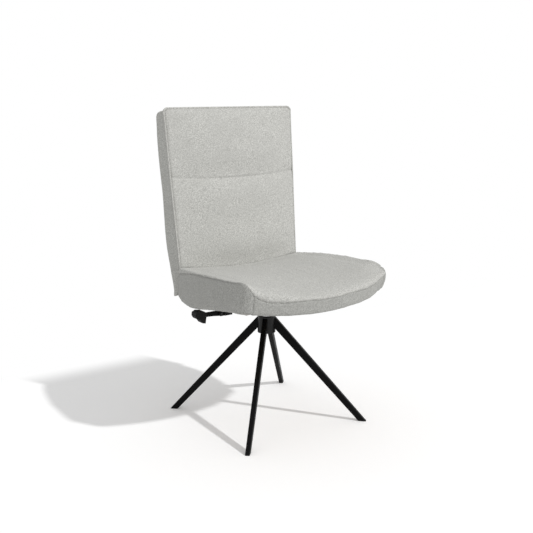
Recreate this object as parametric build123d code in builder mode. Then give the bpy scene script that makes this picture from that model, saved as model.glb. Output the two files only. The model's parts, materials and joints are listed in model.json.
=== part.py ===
from build123d import *
import math
import os

# Swivel dining chair, in millimetres. +Z is up, the sitter faces -Y and the floor is z = 0.
# The sitter's right hand is on the -X side. Every length below is measured from the swivel
# axis, which stands axis_y behind the middle of the chair's depth.

# ---------------------------------------------------------------- driving dimensions

axis_y = 30.4                # swivel axis, behind the middle of the chair's depth

# base
foot_circle_r = 305.0        # swivel axis to the middle of a foot
leg_apex_z = 336.0           # height at which the four leg centre lines meet
leg_top_width = 16.0         # leg tube across, at the hub
leg_top_depth = 25.5         # leg tube in its own upright plane, at the hub
leg_foot_width = 14.0
leg_foot_depth = 18.0
leg_wall = 2.0
leg_corner = 1.6             # cut off the tube's corners
glide_height = 3.0
glide_plug_length = 16.0
hub_r = 28.0
hub_wall = 5.0
hub_bottom_z = 275.0
hub_top_z = 328.0

# swivel bearing
spindle_r = 15.0
running_fit = 0.05           # radial clearance of every turning or sliding fit
seat_gap = 0.3               # axial clearance between pieces that turn on each other
press_gap = 0.05             # radial gap drawn between a pressed piece and its seat
lower_bush_z = 291.0
lower_bush_height = 16.0
upper_bush_height = 18.0
bush_stand = 3.0             # the upper bush stands this far above the hub and carries the thrust collar
washer_height = 1.8
spindle_bottom_z = 281.5
clip_r = 21.5                # eight-sided horseshoe clip pushed into slots cut across the spindle
clip_height = 2.5
clip_slot_depth = 2.5
thrust_collar_height = 6.0
neck_r = 27.0
neck_wall = 3.0
cap_height = 5.0

# swivel plate
plate_z = 400.0              # underside of the plate
plate_side = 184.0
plate_thickness = 3.5
plate_corner = 14.0
plate_hole_spacing = 154.0
plate_bolt_r = 4.0
tee_nut_r = 7.0              # six-sided barrels of the nuts in the board, across the corners
tee_nut_flange_r = 10.0
tee_nut_flange_height = 1.5
fastener_sides = 12          # screws, bolts and their holes are drawn twelve-sided, to keep the mesh light
fastener_play = 0.1
head_ratio = 1.75            # a screw's or bolt's six-sided head, across the corners, to its shank
gusset_thickness = 3.0
gusset_height = 38.0

# seat frame
opening_half_width = 208.0   # clear opening under the seat, each side of the middle
side_rail_width = 40.0
opening_front_y = -198.0
board_rear_y = 116.0
board_thickness = 12.0
rail_top_z = 436.0
rear_rail_y = 133.0          # rear face of the rear rail
rear_rail_bottom_z = 394.0
cushion_rear_y = 141.5       # the seat cushion runs back over the rear rail, under the back's foot
rail_lift = 7.0              # the wooden rails stop this far above the upholstery's lower edge
padding = 16.0               # thickness of the upholstered cheeks and front band

# seat upholstery outline, seen from above, at its hem and at its top seam
hem_z = 380.0
hem_front_y = -304.0
hem_front_r = 620.0
hem_side_x = opening_half_width + side_rail_width + padding
hem_corner_x = hem_side_x - 5
hem_corner_r = 36.0
hem_rear_x = hem_side_x - 48
seam_z = 520.0
seam_front_y = -320.0
seam_front_r = 720.0
seam_side_x = hem_side_x - 4
seam_corner_x = hem_side_x - 7
seam_corner_r = 50.0
seam_rear_x = hem_side_x - 50
side_bulge_y = -60.0         # where the seat is widest
outline_rear_y = 200.0       # the outlines run on behind the seat, which its profiles cut short
band_half_width = hem_side_x - 32   # the upright seams between the cheeks and the front band

# back
hinge_y = 156.0              # recline axis
hinge_z = 412.0
back_foot_y = 144.0          # foot of the back's front seam
back_foot_z = 477.0
back_top_z = 966.0
back_lean = 6.56             # lean of the back's front face, in degrees
back_foot_half_width = seam_rear_x + 4
back_top_half_width = back_foot_half_width + 19
foot_splay = 0.52            # widening of the side walls per mm of depth, at the foot and at the top
top_splay = 0.09
shell_wall = 5.0
shell_edge_depth = 6.0       # the shell's open edge, behind the cushion's front seam
shell_lobe_r = 16.0          # outside radius of the shell where it curls under the recline axis
shell_corner = 14.0          # cut across the shell's and the cushion's upper corners
shell_edge = 6.0             # cut along the shell's upright rear edges
shell_drop = 13.0            # the shell stops this far below the cushion's top
# depth of the shell behind the front seam plane: at runs below the foot, and at shares of the whole run
shell_foot_slices = ((-110.0, 41.0), (-61.0, 35.3), (-26.0, 37.2))
shell_slices = ((0.14, 46.4), (0.45, 47.2), (0.68, 52.9), (0.85, 54.2), (0.935, 52.0), (0.962, 49.5))
shell_top_depth = 43.0
shell_rear_bulge = 3.0
recline_angle = 16.0
back_seam_share = 0.575      # the sewn channel across the back cushion, as a share of the whole run
back_seam_sag = 8.0
back_seam_depth = 4.0
board_depth = 14.0           # front seam plane to the front face of the wooden back board
back_board_thickness = 12.0

# recline hardware
arm_x = opening_half_width - 6      # middle of each hinge arm
arm_thickness = 5.0
arm_eye_r = 11.0
arm_run = 147.0              # top of the arm, up the lean from the foot
arm_flange = 32.0
arm_flange_thickness = 4.0
arm_bolt_runs = (35.0, 80.0, 125.0)
arm_bolt_r = 3.0
arm_bolt_inset = 20.0        # arm to its row of bolts
pin_r = 5.0
bracket_thickness = 4.0
bracket_ear_r = 9.5
bracket_foot_width = 43.0
bracket_foot_thickness = 4.0
bracket_bottom_z = 399.0
bracket_top_z = 433.0
screw_r = 2.4
screw_length = 14.0
side_play = 0.4              # sideways clearance between bracket and arm
torque_bar_r = 8.0
torque_bar_wall = 2.0
spring_x = 56 - opening_half_width  # gas spring centre line
lug_reach = 40.0             # recline axis to the gas spring's pin
lug_thickness = 6.0
lug_width = 18.0
cylinder_r = 14.0
cylinder_wall = 2.0
cylinder_front_y = 14.0
cylinder_rear_y = 122.0
rod_r = 5.0
rod_pin_r = 4.0
slot_play = 1.0              # radial play of the pin in the lug's slot
slot_side_play = 0.1
clevis_front_y = 135.0
clevis_side = 20.0
saddle_thickness = 5.0
saddle_plate_thickness = 3.0

# release lever
lever_x = spring_x - 20      # lever axis, along Y
lever_z = 362.0
lever_hub_r = 8.5
lever_pin_r = 3.5
lever_hub_width = 17.6
lever_ear_gap = 18.0
lever_ear_thickness = 4.0
lever_arm_end_x = 28 - hem_side_x
grip_depth = 26.0

# ---------------------------------------------------------------- values worked out

collar_z = hub_top_z + bush_stand + seat_gap
washer_z = lower_bush_z - seat_gap - washer_height
clip_z = washer_z - clip_height
bore_r = hub_r - hub_wall - press_gap
board_z = plate_z + plate_thickness
board_top_z = board_z + board_thickness
plate_half = plate_hole_spacing / 2
lean = math.radians(back_lean)
half_recline = math.radians(recline_angle / 2)
rod_pin_y = hinge_y + lug_reach * math.sin(half_recline)
spring_z = hinge_z - lug_reach * math.cos(half_recline)
back_run = (back_top_z - back_foot_z) / math.cos(lean)
shell_run = back_run - shell_drop
back_seam_run = back_seam_share * back_run
board_rear_depth = board_depth + back_board_thickness
bracket_x = arm_x + arm_thickness / 2 + side_play
SIDES = ((-1, "right"), (1, "left"))
screw_points = [(side * (bracket_x - 28), z) for side, name in SIDES for z in (408.0, 424.0)]
arm_bolt_points = [(x, run) for x in (arm_bolt_inset - arm_x, arm_x - arm_bolt_inset) for run in arm_bolt_runs]


def level(z):
    """Horizontal plane at height z, centred on the swivel axis."""
    return Plane(origin=(0, axis_y, z))


def side_plane(x):
    """Upright plane facing +X at x: sketch X runs to the rear, sketch Y runs up."""
    return Plane(origin=(x, axis_y, 0), x_dir=(0, 1, 0), z_dir=(1, 0, 0))


def front_plane(y):
    """Upright plane facing the sitter's front at y: sketch X is X, sketch Y runs up."""
    return Plane(origin=(0, axis_y + y, 0), x_dir=(1, 0, 0), z_dir=(0, -1, 0))


def save(part, name):
    """Label a finished piece and write it under its own name."""
    part.label = name
    export_step(part, f"parts/{name}.step")


os.makedirs("parts", exist_ok=True)

# ---------------------------------------------------------------- base

leg_run = math.hypot(foot_circle_r, leg_apex_z)
leg_overrun = 30.0
leg_names = {225: "leg_front_right", 315: "leg_front_left", 45: "leg_rear_left", 135: "leg_rear_right"}


def leg_plane(angle, run):
    """Plane square to a leg, a given length up its centre line from the floor."""
    share = run / leg_run
    reach = foot_circle_r * (1 - share)
    outward = Vector(1, 0, 0).rotate(Axis.Z, angle)
    centre = outward * reach + Vector(0, axis_y, leg_apex_z * share)
    along = outward * -foot_circle_r + Vector(0, 0, leg_apex_z)
    return Plane(origin=centre, x_dir=Vector(0, 1, 0).rotate(Axis.Z, angle), z_dir=along)


def leg_size(run, inset):
    """Width and depth of the tapered tube at a given run, less a wall."""
    share = run / leg_run
    width = leg_foot_width + (leg_top_width - leg_foot_width) * share
    depth = leg_foot_depth + (leg_top_depth - leg_foot_depth) * share
    return width - 2 * inset, depth - 2 * inset


def leg_length(angle, start, end, inset):
    """A tapered length of one leg, between two runs along its centre line."""
    with BuildPart() as length:
        for run in (start, end):
            with BuildSketch(leg_plane(angle, run)) as section:
                Rectangle(*leg_size(run, inset))
                chamfer(section.vertices(), max(leg_corner - inset, 0.5))
        loft(ruled=True)
    return length.part


leg_end_run = leg_run - hub_r * 0.6 * leg_run / foot_circle_r

for leg_angle, leg_name in leg_names.items():
    with BuildPart() as leg:
        add(leg_length(leg_angle, -leg_overrun, leg_end_run, 0))
        add(leg_length(leg_angle, -leg_overrun - 1, leg_end_run + 1, leg_wall), mode=Mode.SUBTRACT)
        split(bisect_by=level(glide_height), keep=Keep.TOP)
        with BuildSketch(level(hub_bottom_z - 60)):
            Circle(hub_r)
        extrude(amount=hub_top_z - hub_bottom_z + 120, mode=Mode.SUBTRACT)
    save(leg.part, leg_name)

with BuildPart() as foot_glides:
    for leg_angle in leg_names:
        add(leg_length(leg_angle, -leg_overrun, leg_overrun, 0))
    split(bisect_by=level(glide_height), keep=Keep.BOTTOM)
    for leg_angle in leg_names:
        add(leg_length(leg_angle, 0, glide_plug_length, leg_wall + 0.1))
    split(bisect_by=level(0), keep=Keep.TOP)
save(foot_glides.part, "foot_glides")

with BuildPart() as hub:
    with BuildSketch(level(hub_bottom_z)):
        Circle(hub_r)
        Circle(hub_r - hub_wall, mode=Mode.SUBTRACT)
    extrude(amount=hub_top_z - hub_bottom_z)
save(hub.part, "hub")

with BuildPart() as hub_cap:
    with BuildSketch(level(hub_bottom_z)):
        Circle(bore_r)
    extrude(amount=cap_height)
save(hub_cap.part, "hub_cap")

with BuildPart() as upper_bush:
    with BuildSketch(level(hub_top_z - upper_bush_height)):
        Circle(bore_r)
        Circle(spindle_r + running_fit, mode=Mode.SUBTRACT)
    extrude(amount=upper_bush_height + bush_stand)
save(upper_bush.part, "upper_bush")

with BuildPart() as lower_bush:
    with BuildSketch(level(lower_bush_z)):
        Circle(bore_r)
        Circle(spindle_r + running_fit, mode=Mode.SUBTRACT)
    extrude(amount=lower_bush_height)
save(lower_bush.part, "lower_bush")

# ---------------------------------------------------------------- swivel bearing and plate

clip_slot_x = spindle_r - clip_slot_depth

with BuildPart() as spindle:
    with BuildSketch(level(spindle_bottom_z)):
        Circle(spindle_r)
    extrude(amount=plate_z - spindle_bottom_z)
    with BuildSketch(level(clip_z)):
        Rectangle(4 * spindle_r, 4 * spindle_r)
        Rectangle(2 * clip_slot_x, 4 * spindle_r, mode=Mode.SUBTRACT)
    extrude(amount=clip_height, mode=Mode.SUBTRACT)
    with BuildSketch(level(collar_z)):
        Circle(neck_r)
    extrude(amount=thrust_collar_height)
save(spindle.part, "spindle")

with BuildPart() as retaining_washer:
    with BuildSketch(level(washer_z)):
        Circle(clip_r)
        Circle(spindle_r + press_gap, mode=Mode.SUBTRACT)
    extrude(amount=washer_height)
save(retaining_washer.part, "retaining_washer")

with BuildPart() as retaining_clip:
    with BuildSketch(level(clip_z)):
        RegularPolygon(clip_r, 8)
        with Locations((0, clip_r / 2)):
            Rectangle(2 * (clip_slot_x + press_gap), clip_r + 2 * (spindle_r + press_gap), mode=Mode.SUBTRACT)
    extrude(amount=clip_height)
save(retaining_clip.part, "retaining_clip")

neck_z = collar_z + thrust_collar_height

with BuildPart() as swivel_neck:
    with BuildSketch(level(neck_z)):
        Circle(neck_r)
        Circle(neck_r - neck_wall, mode=Mode.SUBTRACT)
    extrude(amount=plate_z - neck_z)
    for turn in (45, 135, 225, 315):
        rib = Plane(level(plate_z).origin, x_dir=Vector(1, 0, 0).rotate(Axis.Z, turn),
                    z_dir=Vector(0, -1, 0).rotate(Axis.Z, turn))
        with BuildSketch(rib):
            with BuildLine():
                Polyline((neck_r - 1, 0), (neck_r + 52, 0), (neck_r + 52, -5), (neck_r + 6, -gusset_height),
                         (neck_r - 1, -gusset_height), close=True)
            make_face()
        extrude(amount=gusset_thickness / 2, both=True)
save(swivel_neck.part, "swivel_neck")

with BuildPart() as swivel_plate:
    with BuildSketch(level(plate_z)) as plate_outline:
        Rectangle(plate_side, plate_side)
        chamfer(plate_outline.vertices(), plate_corner)
        with GridLocations(plate_hole_spacing, plate_hole_spacing, 2, 2):
            RegularPolygon(plate_bolt_r + fastener_play, fastener_sides, mode=Mode.SUBTRACT)
    extrude(amount=plate_thickness)
save(swivel_plate.part, "swivel_plate")

with BuildPart() as plate_bolts:
    with BuildSketch(level(plate_z)):
        with GridLocations(plate_hole_spacing, plate_hole_spacing, 2, 2):
            RegularPolygon(head_ratio * plate_bolt_r, 6)
    extrude(amount=-plate_bolt_r)
    with BuildSketch(level(plate_z)):
        with GridLocations(plate_hole_spacing, plate_hole_spacing, 2, 2):
            RegularPolygon(plate_bolt_r, fastener_sides)
    extrude(amount=board_top_z - plate_z)
save(plate_bolts.part, "plate_bolts")

with BuildPart() as tee_nuts:
    for nut_z, nut_r, nut_height in ((board_z, tee_nut_r, board_thickness),
                                     (board_top_z, tee_nut_flange_r, tee_nut_flange_height)):
        with BuildSketch(level(nut_z)):
            with GridLocations(plate_hole_spacing, plate_hole_spacing, 2, 2):
                RegularPolygon(nut_r, 6)
                RegularPolygon(plate_bolt_r + fastener_play, fastener_sides, mode=Mode.SUBTRACT)
        extrude(amount=nut_height)
save(tee_nuts.part, "tee_nuts")

# ---------------------------------------------------------------- seat outlines and profiles


def seat_outline(front_y, front_r, side_x, corner_x, corner_r, rear_x, inset):
    """Face of the seat seen from above: one front arc, two side arcs and a straight rear."""
    corner_y = front_y + front_r - math.sqrt(front_r**2 - corner_x**2)
    with BuildSketch(Plane.XY, mode=Mode.PRIVATE) as outline:
        with BuildLine():
            front = ThreePointArc((-corner_x, corner_y), (0, front_y), (corner_x, corner_y))
            left = ThreePointArc(front @ 1, (side_x, side_bulge_y), (rear_x, outline_rear_y))
            rear = Line(left @ 1, (-rear_x, outline_rear_y))
            ThreePointArc(rear @ 1, (-side_x, side_bulge_y), front @ 0)
        make_face()
        fillet(outline.vertices().group_by(Axis.Y)[0], corner_r)
        if inset:
            offset(amount=-inset, kind=Kind.INTERSECTION)
    return outline.sketch


def seat_envelope(inset):
    """The upholstered seat's outer wall, or the same set in, as one drafted solid."""
    with BuildPart(mode=Mode.PRIVATE) as envelope:
        with BuildSketch(level(hem_z)):
            add(seat_outline(hem_front_y, hem_front_r, hem_side_x, hem_corner_x, hem_corner_r, hem_rear_x, inset))
        with BuildSketch(level(seam_z)):
            add(seat_outline(seam_front_y, seam_front_r, seam_side_x, seam_corner_x, seam_corner_r, seam_rear_x, inset))
        loft(ruled=True)
    return envelope.part


# seams and hems, seen from the side as (y, z) and from the front as (x, z)
cheek_seam = ((rear_rail_y, 465.0), (60.0, 480.5), (0.0, 489.5), (-100.0, 498.5), (-187.0, 504.5),
              (-235.0, 507.5), (-262.0, 507.5), (seam_front_y - 10, 507.5))
cheek_hem = ((hem_front_y + 14, 425.0), (-264.0, 424.5), (opening_front_y, 420.0), (-104.0, 406.5),
             (-15.0, 389.5), (45.0, 381.5), (95.0, 381.5), (rear_rail_y, 387.5))
cheek_heel = (160.0, 401.0)
band_seam_half = ((0.0, 447.0), (0.56, 450.5), (0.86, 459.5), (1.0, 477.0))      # shares of band_half_width
band_hem_half = ((0.0, 407.0), (0.43, 409.5), (0.65, 413.0), (0.84, 417.5), (1.0, 423.0))
corner_seam = ((seam_side_x + 10, 514.0), (seam_side_x - 6, 505.0), (seam_side_x - 11.5, 498.0),
               (seam_side_x - 19, 486.5), (band_half_width, band_seam_half[-1][1]))


def both_sides(half_curve):
    """Points of a front view curve from the right to the left, out of its half as shares of the band's width."""
    right = [(-share * band_half_width, z) for share, z in reversed(half_curve[1:])]
    left = [(share * band_half_width, z) for share, z in half_curve]
    return right + left


def cheek_profile():
    """Face of a seat cheek seen from the side."""
    with BuildSketch(Plane.XY, mode=Mode.PRIVATE) as profile:
        with BuildLine():
            top = Spline(*cheek_seam)
            front = Line(top @ 1, cheek_hem[0])
            hem = Spline(*cheek_hem)
            heel = TangentArc(hem @ 1, cheek_heel, tangent=hem % 1)
            pivot = Line(heel @ 1, (hinge_y, hinge_z))
            Line(pivot @ 1, top @ 0)
        make_face()
    return profile.sketch


def band_profile():
    """Face of the front band seen from the front."""
    with BuildSketch(Plane.XY, mode=Mode.PRIVATE) as profile:
        with BuildLine():
            top = Spline(*both_sides(band_seam_half))
            hem = Spline(*both_sides(band_hem_half))
            Line(top @ 0, hem @ 0)
            Line(top @ 1, hem @ 1)
        make_face()
    return profile.sketch


def corner_profile():
    """Front view of what the cheeks leave free at the front: the band and the corner of the cushion."""
    right = [(-x, z) for x, z in reversed(corner_seam)]
    with BuildSketch(Plane.XY, mode=Mode.PRIVATE) as profile:
        with BuildLine():
            left_seam = Spline(*corner_seam)
            right_seam = Spline(*right)
            Polyline(left_seam @ 1, (band_half_width, hem_z), (-band_half_width, hem_z), right_seam @ 0)
            Polyline(right_seam @ 1, (-seam_side_x - 10, seam_z + 20), (seam_side_x + 10, seam_z + 20), left_seam @ 0)
        make_face()
    return profile.sketch


outer_seat = seat_envelope(0)
inner_seat = seat_envelope(padding)

# ---------------------------------------------------------------- seat upholstery

cheeks = {}
for side, side_name in SIDES:
    with BuildPart() as cheek:
        add(outer_seat)
        add(inner_seat, mode=Mode.SUBTRACT)
        with BuildSketch(side_plane(side * 150)):
            add(cheek_profile())
        extrude(amount=side * 150, mode=Mode.INTERSECT)
        with BuildSketch(front_plane(opening_front_y)):
            add(corner_profile())
        extrude(amount=outline_rear_y, mode=Mode.SUBTRACT)
    cheeks[side_name] = cheek.part
    save(cheek.part, f"seat_cheek_{side_name}")

with BuildPart() as front_band:
    add(outer_seat)
    add(inner_seat, mode=Mode.SUBTRACT)
    with BuildSketch(front_plane(opening_front_y)):
        add(band_profile())
    extrude(amount=outline_rear_y, mode=Mode.INTERSECT)
save(front_band.part, "front_band")

# height of the seat cushion in the middle and at crown_x from it, from the rear to the front
crown_x = hem_side_x + 11
cushion_sections = ((outline_rear_y, 465.0, 484.5), (cushion_rear_y, 466.5, 489.0), (80.0, 467.5, 494.0), (10.0, 471.5, 500.5),
                    (-60.0, 475.5, 507.0), (-130.0, 478.0, 511.5), (-190.0, 478.0, 514.5),
                    (-235.0, 474.8, 514.5), (-265.0, 470.5, 503.5), (-295.0, 461.5, 484.5),
                    (seam_front_y - 6, 446.0, 471.0))

with BuildPart() as seat_cushion:
    for cushion_y, mid_z, side_z in cushion_sections:
        with BuildSketch(front_plane(cushion_y)):
            with BuildLine():
                crown = ThreePointArc((-crown_x, side_z), (0, mid_z), (crown_x, side_z))
                Polyline(crown @ 1, (crown_x, board_top_z), (-crown_x, board_top_z), crown @ 0)
            make_face()
    loft()
    split(bisect_by=front_plane(cushion_rear_y), keep=Keep.TOP)
    add(outer_seat, mode=Mode.INTERSECT)
    with BuildSketch(level(board_top_z)):
        Rectangle(4 * crown_x, 4 * crown_x)
        with Locations((0, (opening_front_y + board_rear_y) / 2)):
            Rectangle(2 * opening_half_width, board_rear_y - opening_front_y, mode=Mode.SUBTRACT)
    extrude(amount=rail_top_z - board_top_z, mode=Mode.SUBTRACT)
    for cheek_part in cheeks.values():
        add(cheek_part, mode=Mode.SUBTRACT)
    add(front_band.part, mode=Mode.SUBTRACT)
    with BuildSketch(level(board_top_z)):
        with GridLocations(plate_hole_spacing, plate_hole_spacing, 2, 2):
            RegularPolygon(tee_nut_flange_r + 0.5, 6)
    extrude(amount=tee_nut_flange_height + 0.3, mode=Mode.SUBTRACT)
save(seat_cushion.part, "seat_cushion")

# ---------------------------------------------------------------- seat frame

with BuildPart() as seat_board:
    with BuildSketch(level(board_z)):
        with Locations((0, (opening_front_y + board_rear_y) / 2)):
            Rectangle(2 * opening_half_width, board_rear_y - opening_front_y)
        with GridLocations(plate_hole_spacing, plate_hole_spacing, 2, 2):
            RegularPolygon(tee_nut_r, 6, mode=Mode.SUBTRACT)
    extrude(amount=board_thickness)
save(seat_board.part, "seat_board")

rail_hem = [(x, z + rail_lift) for x, z in both_sides(band_hem_half)]
rail_end_z = cheek_hem[0][1] + rail_lift

with BuildPart() as front_rail:
    with BuildSketch(front_plane(opening_front_y)):
        with BuildLine():
            Polyline((-hem_side_x, rail_top_z), (-hem_side_x, rail_end_z), *rail_hem, (hem_side_x, rail_end_z),
                     (hem_side_x, rail_top_z), close=True)
        make_face()
    extrude(amount=outline_rear_y)
    add(inner_seat, mode=Mode.INTERSECT)
save(front_rail.part, "front_rail")

for side, side_name in SIDES:
    with BuildPart() as side_rail:
        with BuildSketch(side_plane(side * opening_half_width)):
            with BuildLine():
                Polyline(*[(y, z + rail_lift) for y, z in cheek_hem[2:]], (rear_rail_y, rail_top_z),
                         (opening_front_y, rail_top_z), close=True)
            make_face()
        extrude(amount=side * (side_rail_width + padding))
        add(inner_seat, mode=Mode.INTERSECT)
    save(side_rail.part, f"side_rail_{side_name}")

with BuildPart() as rear_rail:
    with BuildSketch(front_plane(rear_rail_y)):
        with BuildLine():
            Polyline((-opening_half_width, rear_rail_bottom_z), (opening_half_width, rear_rail_bottom_z),
                     (opening_half_width, rail_top_z), (-opening_half_width, rail_top_z), close=True)
        make_face()
    extrude(amount=rear_rail_y - board_rear_y)
    with BuildSketch(front_plane(rear_rail_y)):
        with Locations(*screw_points):
            RegularPolygon(screw_r + fastener_play, fastener_sides)
    extrude(amount=screw_length, mode=Mode.SUBTRACT)
save(rear_rail.part, "rear_rail")

# ---------------------------------------------------------------- back outlines and profiles

back_foot = Vector(0, axis_y + back_foot_y, back_foot_z)
lean_up = Vector(0, math.sin(lean), math.cos(lean))
lean_rear = Vector(0, math.cos(lean), -math.sin(lean))


def back_plane(depth):
    """Plane parallel to the back's front face: sketch X is X, sketch Y runs up the lean."""
    return Plane(origin=back_foot + lean_rear * depth, x_dir=(1, 0, 0), z_dir=lean_rear * -1)


def slice_plane(run):
    """Plane across the back, a run up the lean from its foot: sketch Y is depth."""
    return Plane(origin=back_foot + lean_up * run, x_dir=(1, 0, 0), z_dir=lean_up)


def lean_point(depth, run):
    """Side view point at a depth behind the back's front face and a run up the lean."""
    return (back_foot_y + depth * math.cos(lean) + run * math.sin(lean),
            back_foot_z - depth * math.sin(lean) + run * math.cos(lean))


def half_width(run, depth):
    """Half the width of the back at a run up the lean and a depth behind its front face."""
    share = run / back_run
    front = back_foot_half_width + (back_top_half_width - back_foot_half_width) * (0.63 * share + 0.37 * share**2)
    splay = foot_splay + (top_splay - foot_splay) * share
    flare = 0.0012 * min(run, 0) ** 2
    return front + splay * depth + flare


def around_hinge(radius, angle):
    """Side view point around the recline axis; the angle is measured up from the rear."""
    return (hinge_y + radius * math.cos(math.radians(angle)), hinge_z + radius * math.sin(math.radians(angle)))


def shell_section(run, rear_depth, inset):
    """Section across the back shell at a run up the lean, set in from its outside."""
    front_depth = -20.0 if inset else shell_edge_depth
    rear = rear_depth - inset
    cut = shell_edge - inset * (2 - math.sqrt(2))
    front_x = half_width(run, front_depth) - inset
    side_x = half_width(run, rear - cut) - inset
    rear_x = half_width(run, rear) - inset - cut
    with BuildSketch(Plane.XY, mode=Mode.PRIVATE) as section:
        with BuildLine():
            Polyline((-front_x, front_depth), (front_x, front_depth), (side_x, rear - cut), (rear_x, rear),
                     (0, rear + shell_rear_bulge), (-rear_x, rear), (-side_x, rear - cut), close=True)
        make_face()
    return section.sketch


def shell_profile(inset):
    """Side view limits of the back shell: its curled foot and its seam with the seat."""
    lobe_r = shell_lobe_r - inset
    with BuildSketch(Plane.XY, mode=Mode.PRIVATE) as profile:
        with BuildLine():
            lobe = CenterArc((hinge_y, hinge_z), lobe_r, 0, -90)
            if inset:
                Polyline(lobe @ 0, (hinge_y + 200, hinge_z), (hinge_y + 200, back_top_z + 50),
                         (back_foot_y - 40, back_top_z + 50), (back_foot_y - 40, hinge_z - lobe_r), lobe @ 1)
            else:
                Polyline(lobe @ 0, (hinge_y + 200, hinge_z), (hinge_y + 200, back_top_z + 50),
                         lean_point(0, back_run + 40), lean_point(0, -4), (back_foot_y, back_foot_z - 7),
                         (cheek_seam[0][0] + 2.5, cheek_seam[0][1]), (hinge_y + 1, hinge_z), lobe @ 1)
        make_face()
    return profile.sketch


def shell_form(inset):
    """The back shell's outer body, or the same set in by its wall, as one solid."""
    with BuildPart() as form:
        for run, rear_depth in shell_depths:
            with BuildSketch(slice_plane(run)):
                add(shell_section(run, rear_depth, inset))
        loft()
        add(corner_cutters(shell_run, 25, inset), mode=Mode.SUBTRACT)
        if inset:
            split(bisect_by=slice_plane(shell_run - inset), keep=Keep.BOTTOM)
        with BuildSketch(side_plane(-2 * arm_x)):
            add(shell_profile(inset))
        extrude(amount=4 * arm_x, mode=Mode.INTERSECT)
    return form.part


def corner_cutters(run, depth, inset):
    """What rounds the two upper corners of a piece whose top is a run up the lean."""
    corner_x = half_width(run, depth) - shell_corner
    corner_run = run - shell_corner
    with BuildPart() as cutters:
        with BuildSketch(back_plane(-60)):
            for side, side_name in SIDES:
                with Locations((side * (corner_x + 20), corner_run + 20)):
                    Rectangle(40, 40)
                with Locations((side * corner_x, corner_run)):
                    RegularPolygon(shell_corner - inset, 12, major_radius=False, rotation=15, mode=Mode.SUBTRACT)
        extrude(amount=-150)
    return cutters.part


# ---------------------------------------------------------------- back shell and board

shell_depths = [*shell_foot_slices, *[(share * back_run, depth) for share, depth in shell_slices],
                (shell_run, shell_top_depth)]
shell_inside = shell_form(shell_wall)

with BuildPart() as back_shell:
    add(shell_form(0))
    add(shell_inside, mode=Mode.SUBTRACT)
    # below the recline axis the side walls stop short of the seat's heels, so the back can lean
    for side, side_name in SIDES:
        with BuildSketch(side_plane(side * (arm_x + arm_thickness))):
            with BuildLine():
                Polyline((hinge_y, hinge_z), (hinge_y, hinge_z - 25), (hinge_y + 23, hinge_z - 25), close=True)
            make_face()
        extrude(amount=side * 60, mode=Mode.SUBTRACT)
    # slot for the gas spring's lug
    with BuildSketch(side_plane(spring_x - lug_thickness / 2 - 0.2)):
        with BuildLine():
            Polyline((hinge_y - 2, hinge_z - 30), (hinge_y + 18, hinge_z - 30), (hinge_y + 13, hinge_z),
                     (hinge_y - 2, hinge_z), close=True)
        make_face()
    extrude(amount=lug_thickness + 0.4, mode=Mode.SUBTRACT)
save(back_shell.part, "back_shell")

with BuildPart() as back_board:
    with BuildSketch(back_plane(board_depth)):
        with Locations((0, (6 + arm_run + 12) / 2)):
            Rectangle(2 * arm_x - arm_thickness, arm_run + 12 - 6)
        with Locations((0, (arm_run + 12 + shell_run) / 2)):
            Rectangle(4 * arm_x, shell_run - arm_run - 12)
    extrude(amount=-back_board_thickness)
    add(shell_inside, mode=Mode.INTERSECT)
    with BuildSketch(back_plane(board_depth)):
        with Locations(*arm_bolt_points):
            RegularPolygon(arm_bolt_r + fastener_play, fastener_sides)
    extrude(amount=-back_board_thickness, mode=Mode.SUBTRACT)
save(back_board.part, "back_board")

# ---------------------------------------------------------------- back cushion

# share of the whole run up the lean, and how far the cushion stands forward in its middle
cushion_foot_run = -16.0
back_crowns = ((0.04, 20.0), (0.2, 26.0), (0.385, 26.0), (0.51, 22.0), (back_seam_share, 17.0), (0.64, 22.0),
               (0.76, 26.0), (0.89, 23.0), (0.965, 14.0), (1.0, 3.0))
foot_end_x = back_foot_half_width + 22
foot_sag = (9.5, 7.6)        # the cushion's lower edge: below the foot in the middle, above it at foot_end_x

with BuildPart() as back_cushion:
    for run, crown in ((cushion_foot_run, 10.0), *[(share * back_run, crown) for share, crown in back_crowns]):
        width = half_width(run, 0)
        with BuildSketch(slice_plane(run)):
            with BuildLine():
                front = ThreePointArc((-width, 0), (0, -crown), (width, 0))
                Polyline(front @ 1, (width, board_depth), (-width, board_depth), front @ 0)
            make_face()
    loft()
    add(corner_cutters(back_run, 0, 0), mode=Mode.SUBTRACT)
    with BuildSketch(back_plane(-60)):
        with BuildLine():
            foot = ThreePointArc((-foot_end_x, foot_sag[1]), (0, -foot_sag[0]), (foot_end_x, foot_sag[1]))
            Polyline(foot @ 1, (foot_end_x, -60), (-foot_end_x, -60), foot @ 0)
        make_face()
    extrude(amount=-90, mode=Mode.SUBTRACT)
    add(back_shell.part, mode=Mode.SUBTRACT)
    seam_width = half_width(back_seam_run, 0)
    seam_end = back_foot + lean_up * back_seam_run
    seam_middle = seam_end + lean_up * -back_seam_sag + lean_rear * -17
    with BuildLine():
        seam_path = ThreePointArc(seam_end + Vector(-seam_width - 2, 0, 0), seam_middle,
                                  seam_end + Vector(seam_width + 2, 0, 0))
    with BuildSketch(Plane(origin=seam_path @ 0, z_dir=seam_path % 0)):
        RegularPolygon(back_seam_depth, 4)
    sweep(path=seam_path, mode=Mode.SUBTRACT)
save(back_cushion.part, "back_cushion")

# ---------------------------------------------------------------- recline hinge

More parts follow.
